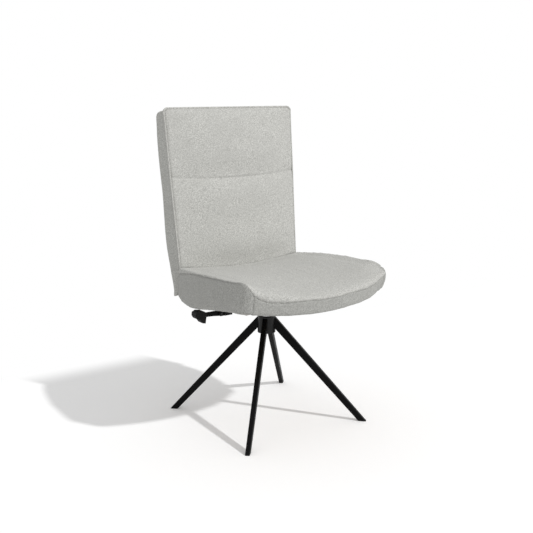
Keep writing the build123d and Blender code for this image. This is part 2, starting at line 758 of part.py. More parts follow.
for side, side_name in SIDES:
    with BuildPart() as arm:
        with BuildSketch(side_plane(side * (arm_x - arm_thickness / 2))):
            with BuildLine():
                Polyline(lean_point(board_depth + 1, arm_run), lean_point(board_rear_depth + 8, arm_run),
                         lean_point(board_rear_depth + 8, 15), lean_point(30, -35), around_hinge(arm_eye_r, 0),
                         around_hinge(arm_eye_r, 175), lean_point(board_depth + 1, -30), close=True)
            make_face()
            with Locations((hinge_y, hinge_z)):
                Circle(arm_eye_r)
                Circle(pin_r + running_fit, mode=Mode.SUBTRACT)
        extrude(amount=side * arm_thickness)
        with BuildSketch(back_plane(board_rear_depth)):
            with Locations((side * (arm_x - arm_flange / 2), (20 + arm_run) / 2)):
                Rectangle(arm_flange, arm_run - 20)
            with Locations(*[(side * (arm_x - arm_bolt_inset), run) for run in arm_bolt_runs]):
                RegularPolygon(arm_bolt_r + fastener_play, fastener_sides, mode=Mode.SUBTRACT)
        extrude(amount=-arm_flange_thickness)
    save(arm.part, f"hinge_arm_{side_name}")

with BuildPart() as arm_bolts:
    for depth, radius, sides, length in (
            (board_depth + 1, arm_bolt_r, fastener_sides, back_board_thickness + arm_flange_thickness - 1),
            (board_rear_depth + arm_flange_thickness, head_ratio * arm_bolt_r, 6, arm_bolt_r)):
        with BuildSketch(back_plane(depth)):
            with Locations(*arm_bolt_points):
                RegularPolygon(radius, sides)
        extrude(amount=-length)
save(arm_bolts.part, "arm_bolts")

with BuildPart() as torque_bar:
    with BuildSketch(side_plane(arm_thickness / 2 - arm_x)):
        with Locations((hinge_y, hinge_z)):
            Circle(torque_bar_r)
            Circle(torque_bar_r - torque_bar_wall, mode=Mode.SUBTRACT)
    extrude(amount=2 * arm_x - arm_thickness)
save(torque_bar.part, "torque_bar")

for side, side_name in SIDES:
    with BuildPart() as bracket:
        with BuildSketch(side_plane(side * bracket_x)):
            with BuildLine():
                Polyline((rear_rail_y, bracket_bottom_z), around_hinge(bracket_ear_r, -90),
                         around_hinge(bracket_ear_r, 80), (rear_rail_y + 8, bracket_top_z),
                         (rear_rail_y, bracket_top_z), close=True)
            make_face()
            with Locations((hinge_y, hinge_z)):
                Circle(bracket_ear_r)
                Circle(pin_r, mode=Mode.SUBTRACT)
        extrude(amount=side * bracket_thickness)
        with BuildSketch(front_plane(rear_rail_y)):
            foot_middle = bracket_x + bracket_thickness - bracket_foot_width / 2
            with Locations((side * foot_middle, (bracket_top_z + bracket_bottom_z) / 2)):
                Rectangle(bracket_foot_width, bracket_top_z - bracket_bottom_z)
            with Locations(*screw_points):
                RegularPolygon(screw_r + fastener_play, fastener_sides, mode=Mode.SUBTRACT)
        extrude(amount=-bracket_foot_thickness)
    save(bracket.part, f"hinge_bracket_{side_name}")

with BuildPart() as bracket_screws:
    with BuildSketch(front_plane(rear_rail_y - screw_length)):
        with Locations(*screw_points):
            RegularPolygon(screw_r, fastener_sides)
    extrude(amount=-screw_length - bracket_foot_thickness)
    with BuildSketch(front_plane(rear_rail_y + bracket_foot_thickness)):
        with Locations(*screw_points):
            RegularPolygon(head_ratio * screw_r, 6)
    extrude(amount=-screw_r)
save(bracket_screws.part, "bracket_screws")

with BuildPart() as hinge_pins:
    for side, side_name in SIDES:
        with BuildSketch(side_plane(side * (bracket_x + bracket_thickness))):
            with Locations((hinge_y, hinge_z)):
                Circle(pin_r)
        extrude(amount=side * -(bracket_thickness + side_play + arm_thickness + 5))
        with BuildSketch(side_plane(side * (bracket_x + bracket_thickness))):
            with Locations((hinge_y, hinge_z)):
                Circle(pin_r + 2)
        extrude(amount=side * 1.2)
save(hinge_pins.part, "hinge_pins")

lug_end = around_hinge(lug_reach + slot_play, -90 + recline_angle / 2)
lug_middle = around_hinge(lug_reach * 0.995, -90 + recline_angle / 2)

with BuildPart() as spring_lug:
    with BuildSketch(side_plane(spring_x - lug_thickness / 2)):
        with Locations((hinge_y, hinge_z)):
            Circle(torque_bar_r + 2.8)
        with Locations(lug_end):
            Circle(lug_width / 2)
        with Locations(around_hinge(lug_reach / 2, -90 + recline_angle / 2)):
            Rectangle(lug_width, lug_reach, rotation=recline_angle / 2)
        with Locations((hinge_y, hinge_z)):
            Circle(torque_bar_r, mode=Mode.SUBTRACT)
        with Locations(lug_middle):
            SlotCenterToCenter(slot_play, 2 * (rod_pin_r + slot_side_play), rotation=-90 + recline_angle / 2,
                               mode=Mode.SUBTRACT)
    extrude(amount=lug_thickness)
save(spring_lug.part, "spring_lug")

# ---------------------------------------------------------------- lockable gas spring

spring_axis = (spring_x, spring_z)

with BuildPart() as gas_spring_cylinder:
    with BuildSketch(front_plane(cylinder_rear_y)):
        with Locations(spring_axis):
            Circle(cylinder_r)
    extrude(amount=cylinder_rear_y - cylinder_front_y)
    with BuildSketch(front_plane(cylinder_rear_y - 8)):
        with Locations(spring_axis):
            Circle(cylinder_r - cylinder_wall)
    extrude(amount=cylinder_rear_y - cylinder_front_y - 14, mode=Mode.SUBTRACT)
    with BuildSketch(front_plane(cylinder_rear_y)):
        with Locations(spring_axis):
            Circle(rod_r + running_fit)
    extrude(amount=8, mode=Mode.SUBTRACT)
save(gas_spring_cylinder.part, "gas_spring_cylinder")

with BuildPart() as gas_spring_rod:
    with BuildSketch(front_plane(clevis_front_y + 4)):
        with Locations(spring_axis):
            Circle(rod_r)
    extrude(amount=clevis_front_y + 4 - 84)
    with BuildSketch(front_plane(84)):
        with Locations(spring_axis):
            Circle(cylinder_r - cylinder_wall - running_fit)
    extrude(amount=8)
save(gas_spring_rod.part, "gas_spring_rod")

with BuildPart() as rod_clevis:
    with BuildSketch(front_plane(clevis_front_y)):
        with Locations(spring_axis):
            Rectangle(clevis_side - 2, clevis_side)
    extrude(amount=-36)
    with BuildSketch(front_plane(clevis_front_y + 4)):
        with Locations(spring_axis):
            Circle(rod_r)
    extrude(amount=4, mode=Mode.SUBTRACT)
    with BuildSketch(front_plane(clevis_front_y + 14)):
        with Locations(spring_axis):
            Rectangle(lug_thickness + 0.6, clevis_side + 2)
    extrude(amount=-30, mode=Mode.SUBTRACT)
    with BuildSketch(side_plane(spring_x - clevis_side / 2)):
        with Locations((rod_pin_y, spring_z)):
            Circle(rod_pin_r)
    extrude(amount=clevis_side, mode=Mode.SUBTRACT)
save(rod_clevis.part, "rod_clevis")

with BuildPart() as rod_pin:
    with BuildSketch(side_plane(spring_x - clevis_side / 2 - 1)):
        with Locations((rod_pin_y, spring_z)):
            Circle(rod_pin_r)
    extrude(amount=clevis_side + 2)
save(rod_pin.part, "rod_pin")

saddle_ys = (cylinder_front_y + 14, cylinder_rear_y - 18)

with BuildPart() as spring_bracket:
    with BuildSketch(level(board_z)):
        with Locations((spring_x, 36)):
            Rectangle(4 * cylinder_r, cylinder_rear_y - cylinder_front_y + 40)
    extrude(amount=-saddle_plate_thickness)
    for saddle_y in saddle_ys:
        with BuildSketch(front_plane(saddle_y)):
            with Locations((spring_x, (board_z + spring_z) / 2)):
                Rectangle(2 * cylinder_r + 8, board_z - spring_z)
            with Locations(spring_axis):
                Circle(cylinder_r + 4)
                Circle(cylinder_r, mode=Mode.SUBTRACT)
        extrude(amount=-saddle_thickness)
save(spring_bracket.part, "spring_bracket")

# ---------------------------------------------------------------- release head and lever

ear_reach = lever_ear_gap / 2 + lever_ear_thickness

with BuildPart() as release_head:
    with BuildSketch(front_plane(cylinder_front_y)):
        with Locations((spring_x, spring_z - 2)):
            Rectangle(26, 28)
    extrude(amount=34)
    for ear_y in (-lever_ear_gap / 2, ear_reach):
        with BuildSketch(front_plane(ear_y)):
            with Locations((lever_x, lever_z)):
                Circle(7)
            with Locations(((lever_x + spring_x) / 2, lever_z)):
                Rectangle(abs(lever_x - spring_x), 14)
            with Locations((lever_x, lever_z)):
                Circle(lever_pin_r, mode=Mode.SUBTRACT)
        extrude(amount=lever_ear_thickness)
    # the head is bored from the side to clear the turning lever
    with BuildSketch(front_plane(lever_ear_gap / 2)):
        with Locations((lever_x, lever_z)):
            Circle(lever_hub_r + 1)
    extrude(amount=lever_ear_gap, mode=Mode.SUBTRACT)
save(release_head.part, "release_head")

with BuildPart() as lever_pin:
    with BuildSketch(front_plane(ear_reach + 1)):
        with Locations((lever_x, lever_z)):
            Circle(lever_pin_r)
    extrude(amount=2 * ear_reach + 2)
save(lever_pin.part, "lever_pin")

with BuildPart() as release_lever:
    with BuildSketch(front_plane(lever_hub_width / 2)):
        with Locations((lever_x, lever_z)):
            Circle(lever_hub_r)
    extrude(amount=lever_hub_width)
    with BuildSketch(front_plane(6)):
        with BuildLine():
            Polyline((lever_x, lever_z + 7), (lever_arm_end_x, lever_z + 7), (lever_arm_end_x, lever_z - 3),
                     (lever_x - 25, lever_z - 5), (lever_x, lever_z - 8), close=True)
        make_face()
    extrude(amount=12)
    with BuildSketch(front_plane(lever_hub_width / 2)):
        with Locations((lever_x, lever_z)):
            Circle(lever_pin_r + running_fit)
    extrude(amount=lever_hub_width, mode=Mode.SUBTRACT)
save(release_lever.part, "release_lever")

# outline of the grip, from the end of the lever's arm
grip_outline = ((10, -7), (14, 10), (2, 17), (-14, 19), (-24, 14), (-25, 4), (-20, -4), (-10, -8), (-2, -19), (8, -21))

with BuildPart() as lever_grip:
    with BuildSketch(front_plane(grip_depth / 2)):
        with BuildLine():
            Polyline(*[(lever_arm_end_x + x, lever_z + z) for x, z in grip_outline], close=True)
        make_face()
    extrude(amount=grip_depth)
    add(release_lever.part, mode=Mode.SUBTRACT)
save(lever_grip.part, "lever_grip")
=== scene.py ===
"""Looks of a swivel dining chair: light grey upholstery on a black four-legged swivel base.

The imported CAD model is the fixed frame. The soft pads and the legs are built here and stand for their CAD nodes,
and the other CAD nodes keep their shape and get a finish. Lengths are in metres. +Z is up, the sitter faces -Y and
the sitter's right hand is on the -X side.
"""

from __future__ import annotations

import json
import logging
import math
import sys
from collections.abc import Iterable, Sequence
from dataclasses import dataclass
from enum import Enum
from functools import cache

import bpy
import numpy as np
from mathutils import Matrix, Vector, noise
from mathutils.bvhtree import BVHTree

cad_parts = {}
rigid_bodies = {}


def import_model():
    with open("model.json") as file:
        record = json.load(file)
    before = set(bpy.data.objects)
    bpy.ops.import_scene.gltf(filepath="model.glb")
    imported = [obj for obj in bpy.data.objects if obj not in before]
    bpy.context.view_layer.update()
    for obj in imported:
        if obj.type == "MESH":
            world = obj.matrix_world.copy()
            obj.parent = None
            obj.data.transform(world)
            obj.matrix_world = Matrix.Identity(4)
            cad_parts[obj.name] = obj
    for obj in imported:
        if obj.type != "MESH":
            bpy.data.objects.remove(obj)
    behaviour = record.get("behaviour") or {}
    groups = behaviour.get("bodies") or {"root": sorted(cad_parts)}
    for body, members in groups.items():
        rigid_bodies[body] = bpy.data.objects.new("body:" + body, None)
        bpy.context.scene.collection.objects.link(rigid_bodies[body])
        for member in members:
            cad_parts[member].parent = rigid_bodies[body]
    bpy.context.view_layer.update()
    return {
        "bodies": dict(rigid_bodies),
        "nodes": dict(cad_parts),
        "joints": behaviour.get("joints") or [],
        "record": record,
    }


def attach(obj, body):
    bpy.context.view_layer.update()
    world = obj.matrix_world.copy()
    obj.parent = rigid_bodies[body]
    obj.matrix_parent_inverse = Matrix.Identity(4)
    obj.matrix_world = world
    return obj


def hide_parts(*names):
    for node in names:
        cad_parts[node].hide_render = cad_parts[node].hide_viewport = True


log = logging.getLogger("chair")

Object = bpy.types.Object
Material = bpy.types.Material
NodeTree = bpy.types.NodeTree
Node = bpy.types.Node
Socket = bpy.types.NodeSocket
Colour = tuple[float, float, float]
Nodes = dict[str, Object]


class Slot(Enum):
    """Material slots of the record."""

    UPHOLSTERY = "upholstery"
    UPHOLSTERY_SIDE = "upholstery_side"
    BLACK_METAL = "black_metal"
    BLACK_PLASTIC = "black_plastic"
    STEEL = "steel"
    ZINC = "zinc"
    PLYWOOD = "plywood"


# ---- modelling helpers

FAIRING = (0.5, -0.52)      # share of the way to its neighbours' middle that a point moves, and the way back


def drop_selection() -> None:
    """Leave edit mode and deselect every object."""
    if bpy.context.mode != "OBJECT":
        bpy.ops.object.mode_set(mode="OBJECT")
    bpy.ops.object.select_all(action="DESELECT")


def take(piece: Object) -> None:
    """Select one object alone and make it active."""
    drop_selection()
    piece.select_set(True)
    bpy.context.view_layer.objects.active = piece


def open_mesh(piece: Object) -> None:
    """Take one object into edit mode with all of its mesh selected."""
    take(piece)
    bpy.ops.object.mode_set(mode="EDIT")
    bpy.ops.mesh.select_all(action="SELECT")


def settle(piece: Object) -> None:
    """Put an object's place, turn and size into its mesh."""
    take(piece)
    bpy.ops.object.transform_apply(location=True, rotation=True, scale=True)


def apply_modifier(piece: Object, kind: str, **settings: object) -> None:
    """Add one modifier and apply it.

    Args:
        piece: The object that takes it.
        kind: The modifier's type.
        **settings: Its settings by name.
    """
    take(piece)
    modifier = piece.modifiers.new(kind.title(), kind)
    for key, value in settings.items():
        setattr(modifier, key, value)
    bpy.ops.object.modifier_apply(modifier=modifier.name)


def vertex_rows(piece: Object, field: str = "co") -> np.ndarray:
    """Vertex places ("co") or normals ("normal") of a mesh as rows of three numbers."""
    flat = np.empty(len(piece.data.vertices) * 3)
    piece.data.vertices.foreach_get(field, flat)
    return flat.reshape(-1, 3)


def place_vertices(piece: Object, places: np.ndarray) -> None:
    """Write vertex places back into a mesh."""
    piece.data.vertices.foreach_set("co", places.ravel())
    piece.data.update()


def swell(piece: Object, amount: float | np.ndarray) -> None:
    """Move vertices out along their normals, all by one distance or each by its own, negative for inwards."""
    steps = np.broadcast_to(amount, len(piece.data.vertices))
    place_vertices(piece, vertex_rows(piece) + vertex_rows(piece, "normal") * steps[:, None])


def smooth_step(values: np.ndarray, low: float, high: float) -> np.ndarray:
    """Ramp from 0 at low to 1 at high, smooth at both ends."""
    share = np.clip((values - low) / (high - low), 0.0, 1.0)
    return share * share * (3.0 - 2.0 * share)


def search_trees(nodes: Iterable[Object]) -> list[BVHTree]:
    """Search trees of CAD nodes.

    Args:
        nodes: The CAD objects.

    Returns:
        One tree for each node.
    """
    found = []
    for node in nodes:
        corners = [vertex.co.copy() for vertex in node.data.vertices]
        faces = [tuple(face.vertices) for face in node.data.polygons]
        found.append(BVHTree.FromPolygons(corners, faces))
    return found


def distance_to(places: np.ndarray, trees: Sequence[BVHTree], reach: float) -> np.ndarray:
    """Distance from each place to the nearest of some surfaces.

    Args:
        places: Rows of three numbers.
        trees: Search trees of the surfaces.
        reach: The largest distance that matters.

    Returns:
        One distance for each row, at most reach.
    """
    found = np.full(len(places), reach)
    for index, place in enumerate(places):
        for tree in trees:
            gap = tree.find_nearest(Vector(place), reach)[3]
            if gap is not None and gap < found[index]:
                found[index] = gap
    return found


def polyline_distance(places: np.ndarray, line: Sequence[Vector]) -> np.ndarray:
    """Distance from each place to a run of straight pieces.

    Args:
        places: Rows of three numbers.
        line: The points that the pieces join.

    Returns:
        One distance for each row.
    """
    found = np.full(len(places), math.inf)
    for start, end in zip(line, line[1:]):
        first = np.array(start)
        along = np.array(end) - first
        share = np.clip((places - first) @ along / (along @ along), 0.0, 1.0)
        gap = np.linalg.norm(places - first - share[:, None] * along, axis=1)
        found = np.minimum(found, gap)
    return found


def fair(piece: Object, rounds: int) -> None:
    """Take the steps out of a remeshed surface without thinning it.

    Args:
        piece: The mesh object.
        rounds: How many times it is smoothed and then swelled back.
    """
    flat = np.empty(len(piece.data.edges) * 2, dtype=np.int64)
    piece.data.edges.foreach_get("vertices", flat)
    starts, ends = flat.reshape(-1, 2).T
    places = vertex_rows(piece)
    size = len(places)
    count = np.maximum(np.bincount(flat, minlength=size), 1)
    for _ in range(rounds):
        for factor in FAIRING:
            middle = np.empty_like(places)
            for axis in range(3):
                total = np.bincount(starts, places[ends, axis], size)
                middle[:, axis] = (total + np.bincount(ends, places[starts, axis], size)) / count
            places = places + factor * (middle - places)
    place_vertices(piece, places)


def shade_soft(piece: Object, angle: float | None = None) -> None:
    """Shade a mesh smooth, or smooth up to an angle in degrees."""
    take(piece)
    if angle is None:
        bpy.ops.object.shade_smooth()
    else:
        bpy.ops.object.shade_smooth_by_angle(angle=math.radians(angle))


# ---- shader helpers


class Sheet:
    """A node tree on which nodes are laid and linked."""

    def __init__(self, tree: NodeTree) -> None:
        """Take the tree to fill."""
        self.tree = tree
        self.count = 0

    def add(self, kind: str, **settings: object) -> Node:
        """Lay one node.

        Args:
            kind: The node's type.
            **settings: Its own settings by name.

        Returns:
            The node.
        """
        node = self.tree.nodes.new(kind)
        node.location = (190 * (self.count % 8), -240 * (self.count // 8))
        self.count += 1
        for key, value in settings.items():
            setattr(node, key, value)
        return node

    def link(self, source: Socket, target: Socket) -> None:
        """Link an output to an input."""
        self.tree.links.new(source, target)

    def put(self, value: object, target: Socket) -> None:
        """Link a socket to an input, or set a plain value on it."""
        if isinstance(value, Socket):
            self.link(value, target)
        else:
            target.default_value = value

    def feed(self, node: Node, values: dict[str, object]) -> None:
        """Fill a node's inputs with sockets or values, by name."""
        for name, value in values.items():
            self.put(value, node.inputs[name])

    def math(self, operation: str, first: object, second: object = 0.0) -> Socket:
        """Lay a Math node.

        Args:
            operation: Its operation.
            first: A socket or a number.
            second: A socket or a number.

        Returns:
            Its output.
        """
        node = self.add("ShaderNodeMath", operation=operation)
        for socket, value in zip(node.inputs, (first, second)):
            self.put(value, socket)
        return node.outputs[0]

    def spread(self, value: Socket, low: float, high: float, bottom: float = 0.0, top: float = 1.0) -> Socket:
        """Lay a Map Range node.

        Args:
            value: The input.
            low: Input at the bottom.
            high: Input at the top.
            bottom: Lowest output.
            top: Highest output.

        Returns:
            Its output.
        """
        node = self.add("ShaderNodeMapRange", interpolation_type="SMOOTHSTEP")
        self.feed(node, {"Value": value, "From Min": low, "From Max": high, "To Min": bottom, "To Max": top})
        return node.outputs[0]

    def noise(self, vector: Socket, scale: object, detail: float = 2.0, rough: float = 0.5) -> Socket:
        """Lay a Noise node.

        Args:
            vector: Where it is read.
            scale: Its scale, a socket or a number.
            detail: Its detail.
            rough: Its roughness.

        Returns:
            Its value.
        """
        node = self.add("ShaderNodeTexNoise")
        self.feed(node, {"Vector": vector, "Scale": scale, "Detail": detail, "Roughness": rough})
        return node.outputs["Fac"]

    def mixed(self, mask: Socket, first: Node, second: Node) -> Node:
        """Lay a Mix Shader node.

        Args:
            mask: 0 gives first, 1 gives second.
            first: A shader node.
            second: A shader node.

        Returns:
            The node.
        """
        node = self.add("ShaderNodeMixShader")
        for socket, source in zip(node.inputs, (mask, first.outputs[0], second.outputs[0])):
            self.link(source, socket)
        return node

    def blend(self, mask: Socket, first: object, second: object) -> Socket:
        """Lay a colour Mix node.

        Args:
            mask: 0 gives first, 1 gives second.
            first: A socket or a colour.
            second: A socket or a colour.

        Returns:
            The mixed colour.
        """
        node = self.add("ShaderNodeMix", data_type="RGBA")
        self.link(mask, node.inputs["Factor"])
        for socket, value in ((node.inputs[6], first), (node.inputs[7], second)):
            self.put(value if isinstance(value, Socket) else (*value, 1.0), socket)
        return node.outputs[2]


def blank_sheet(owner: Material | bpy.types.World) -> Sheet:
    """Give a material or a world an empty node tree."""
    owner.use_nodes = True
    owner.node_tree.nodes.clear()
    return Sheet(owner.node_tree)


def open_group(name: str, inputs: dict[str, float], outputs: Sequence[str]) -> tuple[NodeTree, Sheet, Node, Node]:
    """Start a shader node group that reads a vector and some numbers.

    Args:
        name: Its name.
        inputs: Its number inputs and their first values.
        outputs: Its value outputs.

    Returns:
        The group, its sheet, its input node and its output node.
    """
    tree = bpy.data.node_groups.new(name, "ShaderNodeTree")
    tree.interface.new_socket("Vector", in_out="INPUT", socket_type="NodeSocketVector")
    for key, value in inputs.items():
        socket = tree.interface.new_socket(key, in_out="INPUT", socket_type="NodeSocketFloat")
        socket.default_value = value
    for key in outputs:
        tree.interface.new_socket(key, in_out="OUTPUT", socket_type="NodeSocketFloat")
    sheet = Sheet(tree)
    return tree, sheet, sheet.add("NodeGroupInput"), sheet.add("NodeGroupOutput")


def scaled_noise(sheet: Sheet, entry: Node, size: str, detail: float, share: float = 1.0) -> Socket:
    """Lay a Noise node whose grain size in metres is a share of one of the group's inputs."""
    return sheet.noise(entry.outputs["Vector"], sheet.math("DIVIDE", 1.0 / share, entry.outputs[size]), detail)


@cache
def yarn_melange() -> NodeTree:
    """Flecks of lighter and darker yarn, soft patches, and the loops of the cloth's surface.

    Returns:
        The group, built once.
    """
    sizes = {"Fleck": 0.0026, "Patch": 0.07, "Loop": 0.0014}
    tree, sheet, entry, exit_ = open_group("yarn_melange", sizes, ("Flecks", "Patches", "Height"))
    flecks = sheet.spread(scaled_noise(sheet, entry, "Fleck", 1.0), 0.33, 0.67)
    patches = sheet.spread(scaled_noise(sheet, entry, "Patch", 3.0), 0.3, 0.7)
    loops = sheet.add("ShaderNodeTexVoronoi", feature="SMOOTH_F1")
    scale = sheet.math("DIVIDE", 1.0, entry.outputs["Loop"])
    sheet.feed(loops, {"Vector": entry.outputs["Vector"], "Scale": scale, "Smoothness": 0.4})
    crowns = sheet.math("SUBTRACT", 1.0, loops.outputs["Distance"])
    fibres = scaled_noise(sheet, entry, "Loop", 2.0, 0.4)
    height = sheet.math("ADD", sheet.math("MULTIPLY", crowns, 0.75), sheet.math("MULTIPLY", fibres, 0.35))
    sheet.feed(exit_, {"Flecks": flecks, "Patches": patches, "Height": height})
    return tree


@cache
def surface_grain() -> NodeTree:
    """Fine surface grain with slow changes over it, for paint, metal and moulded plastic.

    Returns:
        The group, built once.
    """
    tree, sheet, entry, exit_ = open_group("surface_grain", {"Grain": 0.0012, "Cloud": 0.05}, ("Grain", "Cloud"))
    cloud = sheet.spread(scaled_noise(sheet, entry, "Cloud", 4.0), 0.3, 0.7)
    sheet.feed(exit_, {"Grain": scaled_noise(sheet, entry, "Grain", 2.0), "Cloud": cloud})
    return tree


def place_group(sheet: Sheet, tree: NodeTree, vector: Socket, **sizes: float) -> Node:
    """Lay a shared group with this material's own values of its inputs."""
    node = sheet.add("ShaderNodeGroup", node_tree=tree)
    sheet.feed(node, {"Vector": vector} | {key.title(): value for key, value in sizes.items()})
    return node


def raise_surface(sheet: Sheet, shader: Node, height: Socket, strength: float, distance: float) -> None:
    """Feed a height through a Bump node to the shader's normal.

    Args:
        sheet: The material's sheet.
        shader: The Principled node.
        height: The height.
        strength: The bump's strength.
        distance: The bump's distance in metres.
    """
    bump = sheet.add("ShaderNodeBump")
    sheet.feed(bump, {"Strength": strength, "Distance": distance, "Height": height})
    sheet.link(bump.outputs["Normal"], shader.inputs["Normal"])


# ---- finishes


@dataclass(frozen=True)
class Finish:
    """A finish whose material is built once."""

    name: str

    def material(self) -> Material:
        """Material of the finish.

        Returns:
            The Blender material, built at the first call.
        """
        found = bpy.data.materials.get(self.name)
        if not found:
            found = bpy.data.materials.new(self.name)
            sheet = blank_sheet(found)
            shader = sheet.add("ShaderNodeBsdfPrincipled")
            sheet.link(shader.outputs["BSDF"], sheet.add("ShaderNodeOutputMaterial").inputs["Surface"])
            self.draw(sheet, shader, sheet.add("ShaderNodeTexCoord").outputs["Object"])
        return found

    def draw(self, sheet: Sheet, shader: Node, place: Socket) -> None:
        """Lay the finish's nodes."""
        raise NotImplementedError


def toned(colour: Colour, factor: float) -> Colour:
    """A colour made lighter or darker by a factor."""
    return tuple(factor * part for part in colour)


@dataclass(frozen=True)
class MelangeCloth(Finish):
    """Soft woven upholstery cloth of mixed grey yarns."""

    light: Colour
    dark: Colour
    fleck: float = 0.0027
    patch: float = 0.075
    loop: float = 0.0014
    relief: float = 0.0007
    sheen: float = 0.12
    patch_share: float = 0.38
    # share of painted shade and seam dirt that darkens the cloth at its seams
    seam_shade_share: float = 0.14

    def draw(self, sheet: Sheet, shader: Node, place: Socket) -> None:
        """Lay the cloth's nodes.

        Args:
            sheet: The material's sheet.
            shader: Its Principled node.
            place: Its Object coordinates.
        """
        yarn = place_group(sheet, yarn_melange(), place, fleck=self.fleck, patch=self.patch, loop=self.loop)
        worn = tuple(0.465 * (light + dark) for light, dark in zip(self.light, self.dark))
        colour = sheet.blend(yarn.outputs["Flecks"], self.dark, self.light)
        colour = sheet.blend(sheet.math("MULTIPLY", yarn.outputs["Patches"], self.patch_share), colour, worn)
        # painted shade, with some seam dirt: the cloth darkens towards its seams, where the creases lie in shade
        seam = sheet.add("ShaderNodeAttribute", attribute_name="seam")
        shade = sheet.math("MULTIPLY", seam.outputs["Fac"], self.seam_shade_share)
        colour = sheet.blend(shade, colour, toned(self.dark, 0.55))
        sheet.feed(shader, {
            "Base Color": colour,
            "Roughness": sheet.spread(yarn.outputs["Patches"], 0.0, 1.0, 0.86, 0.95),
            "Specular IOR Level": 0.2,
            "Sheen Weight": self.sheen,
            "Sheen Roughness": 0.5,
        })
        raise_surface(sheet, shader, yarn.outputs["Height"], 0.55, self.relief)


@dataclass(frozen=True)
class PowderCoat(Finish):
    """Satin black powder coat with a fine orange peel."""

    colour: Colour = (0.004, 0.004, 0.0041)
    peel: float = 0.0011
    roughness: float = 0.42
    gloss: float = 0.06

    def draw(self, sheet: Sheet, shader: Node, place: Socket) -> None:
        """Lay the paint's nodes.

        Args:
            sheet: The material's sheet.
            shader: Its Principled node.
            place: Its Object coordinates.
        """
        grain = place_group(sheet, surface_grain(), place, grain=self.peel, cloud=0.06)
        dust = sheet.math("MULTIPLY", grain.outputs["Cloud"], 0.5)
        sheet.feed(shader, {
            "Base Color": sheet.blend(dust, self.colour, toned(self.colour, 1.9)),
            "Roughness": sheet.spread(grain.outputs["Cloud"], 0.0, 1.0, self.roughness - 0.05, self.roughness + 0.07),
            "Specular IOR Level": self.gloss,
        })
        raise_surface(sheet, shader, grain.outputs["Grain"], 0.25, 0.00015)


@dataclass(frozen=True)
class MouldedPlastic(Finish):
    """Matt moulded plastic with a spark-eroded grain."""

    colour: Colour = (0.006, 0.006, 0.0062)
    grain: float = 0.0007
    roughness: float = 0.6
    gloss: float = 0.16

    def draw(self, sheet: Sheet, shader: Node, place: Socket) -> None:
        """Lay the plastic's nodes.

        Args:
            sheet: The material's sheet.
            shader: Its Principled node.
            place: Its Object coordinates.
        """
        grain = place_group(sheet, surface_grain(), place, grain=self.grain, cloud=0.02)
        rub = sheet.math("MULTIPLY", grain.outputs["Cloud"], 0.45)
        sheet.feed(shader, {
            "Base Color": sheet.blend(rub, self.colour, toned(self.colour, 1.7)),
            "Roughness": sheet.spread(grain.outputs["Grain"], 0.3, 0.7, self.roughness - 0.06, self.roughness + 0.08),
            "Specular IOR Level": self.gloss,
        })
        raise_surface(sheet, shader, grain.outputs["Grain"], 0.35, 0.0002)


@dataclass(frozen=True)
class BareMetal(Finish):
    """Ground or plated metal with streaks along one direction."""

    colour: Colour
    streak: Colour
    stretch: tuple[float, float, float]
    roughness: float = 0.3

    def draw(self, sheet: Sheet, shader: Node, place: Socket) -> None:
        """Lay the metal's nodes.

        Args:
            sheet: The material's sheet.
            shader: Its Principled node.
            place: Its Object coordinates.
        """
        mapping = sheet.add("ShaderNodeMapping")
        sheet.feed(mapping, {"Vector": place, "Scale": self.stretch})
        streaks = sheet.noise(mapping.outputs["Vector"], 420.0, 3.0)
        grain = place_group(sheet, surface_grain(), place, grain=0.0009, cloud=0.025)
        colour = sheet.blend(sheet.spread(streaks, 0.35, 0.65), self.colour, self.streak)
        dulled = sheet.math("MULTIPLY", grain.outputs["Cloud"], 0.4)
        colour = sheet.blend(dulled, colour, toned(self.colour, 0.72))
        rough = sheet.spread(streaks, 0.3, 0.7, self.roughness - 0.07, self.roughness + 0.1)
        sheet.feed(shader, {"Base Color": colour, "Metallic": 1.0, "Roughness": rough})
        raise_surface(sheet, shader, streaks, 0.12, 0.0001)


@dataclass(frozen=True)
class Plywood(Finish):
    """Raw plywood: grained faces and layered edges."""

    pale: Colour = (0.56, 0.4, 0.24)
    grain_tone: Colour = (0.4, 0.26, 0.14)
    ply: float = 0.0015

    def draw(self, sheet: Sheet, shader: Node, place: Socket) -> None:
        """Lay the wood's nodes.

        Args:
            sheet: The material's sheet.
            shader: Its Principled node.
            place: Its Object coordinates.
        """
        mapping = sheet.add("ShaderNodeMapping")
        sheet.feed(mapping, {"Vector": place, "Scale": (3.0, 42.0, 42.0)})
        fibres = sheet.noise(mapping.outputs["Vector"], 6.0, 5.0, 0.62)
        layers = sheet.add("ShaderNodeTexWave", wave_type="BANDS", bands_direction="Z", wave_profile="SIN")
        sheet.feed(layers, {"Vector": place, "Scale": 0.314 / (2 * self.ply), "Distortion": 0.4})
        normal = sheet.add("ShaderNodeNewGeometry")
        parts = sheet.add("ShaderNodeSeparateXYZ")
        sheet.link(normal.outputs["Normal"], parts.inputs[0])
        flat = sheet.math("ABSOLUTE", parts.outputs["Z"])
        edge = sheet.math("MULTIPLY", sheet.spread(flat, 0.3, 0.7, 1.0, 0.0), layers.outputs["Fac"])
        colour = sheet.blend(sheet.spread(fibres, 0.35, 0.7), self.pale, self.grain_tone)
        colour = sheet.blend(sheet.math("MULTIPLY", edge, 0.7), colour, toned(self.grain_tone, 0.6))
        sheet.feed(shader, {"Base Color": colour, "Roughness": sheet.spread(fibres, 0.3, 0.7, 0.62, 0.8)})
        raise_surface(sheet, shader, fibres, 0.3, 0.0003)


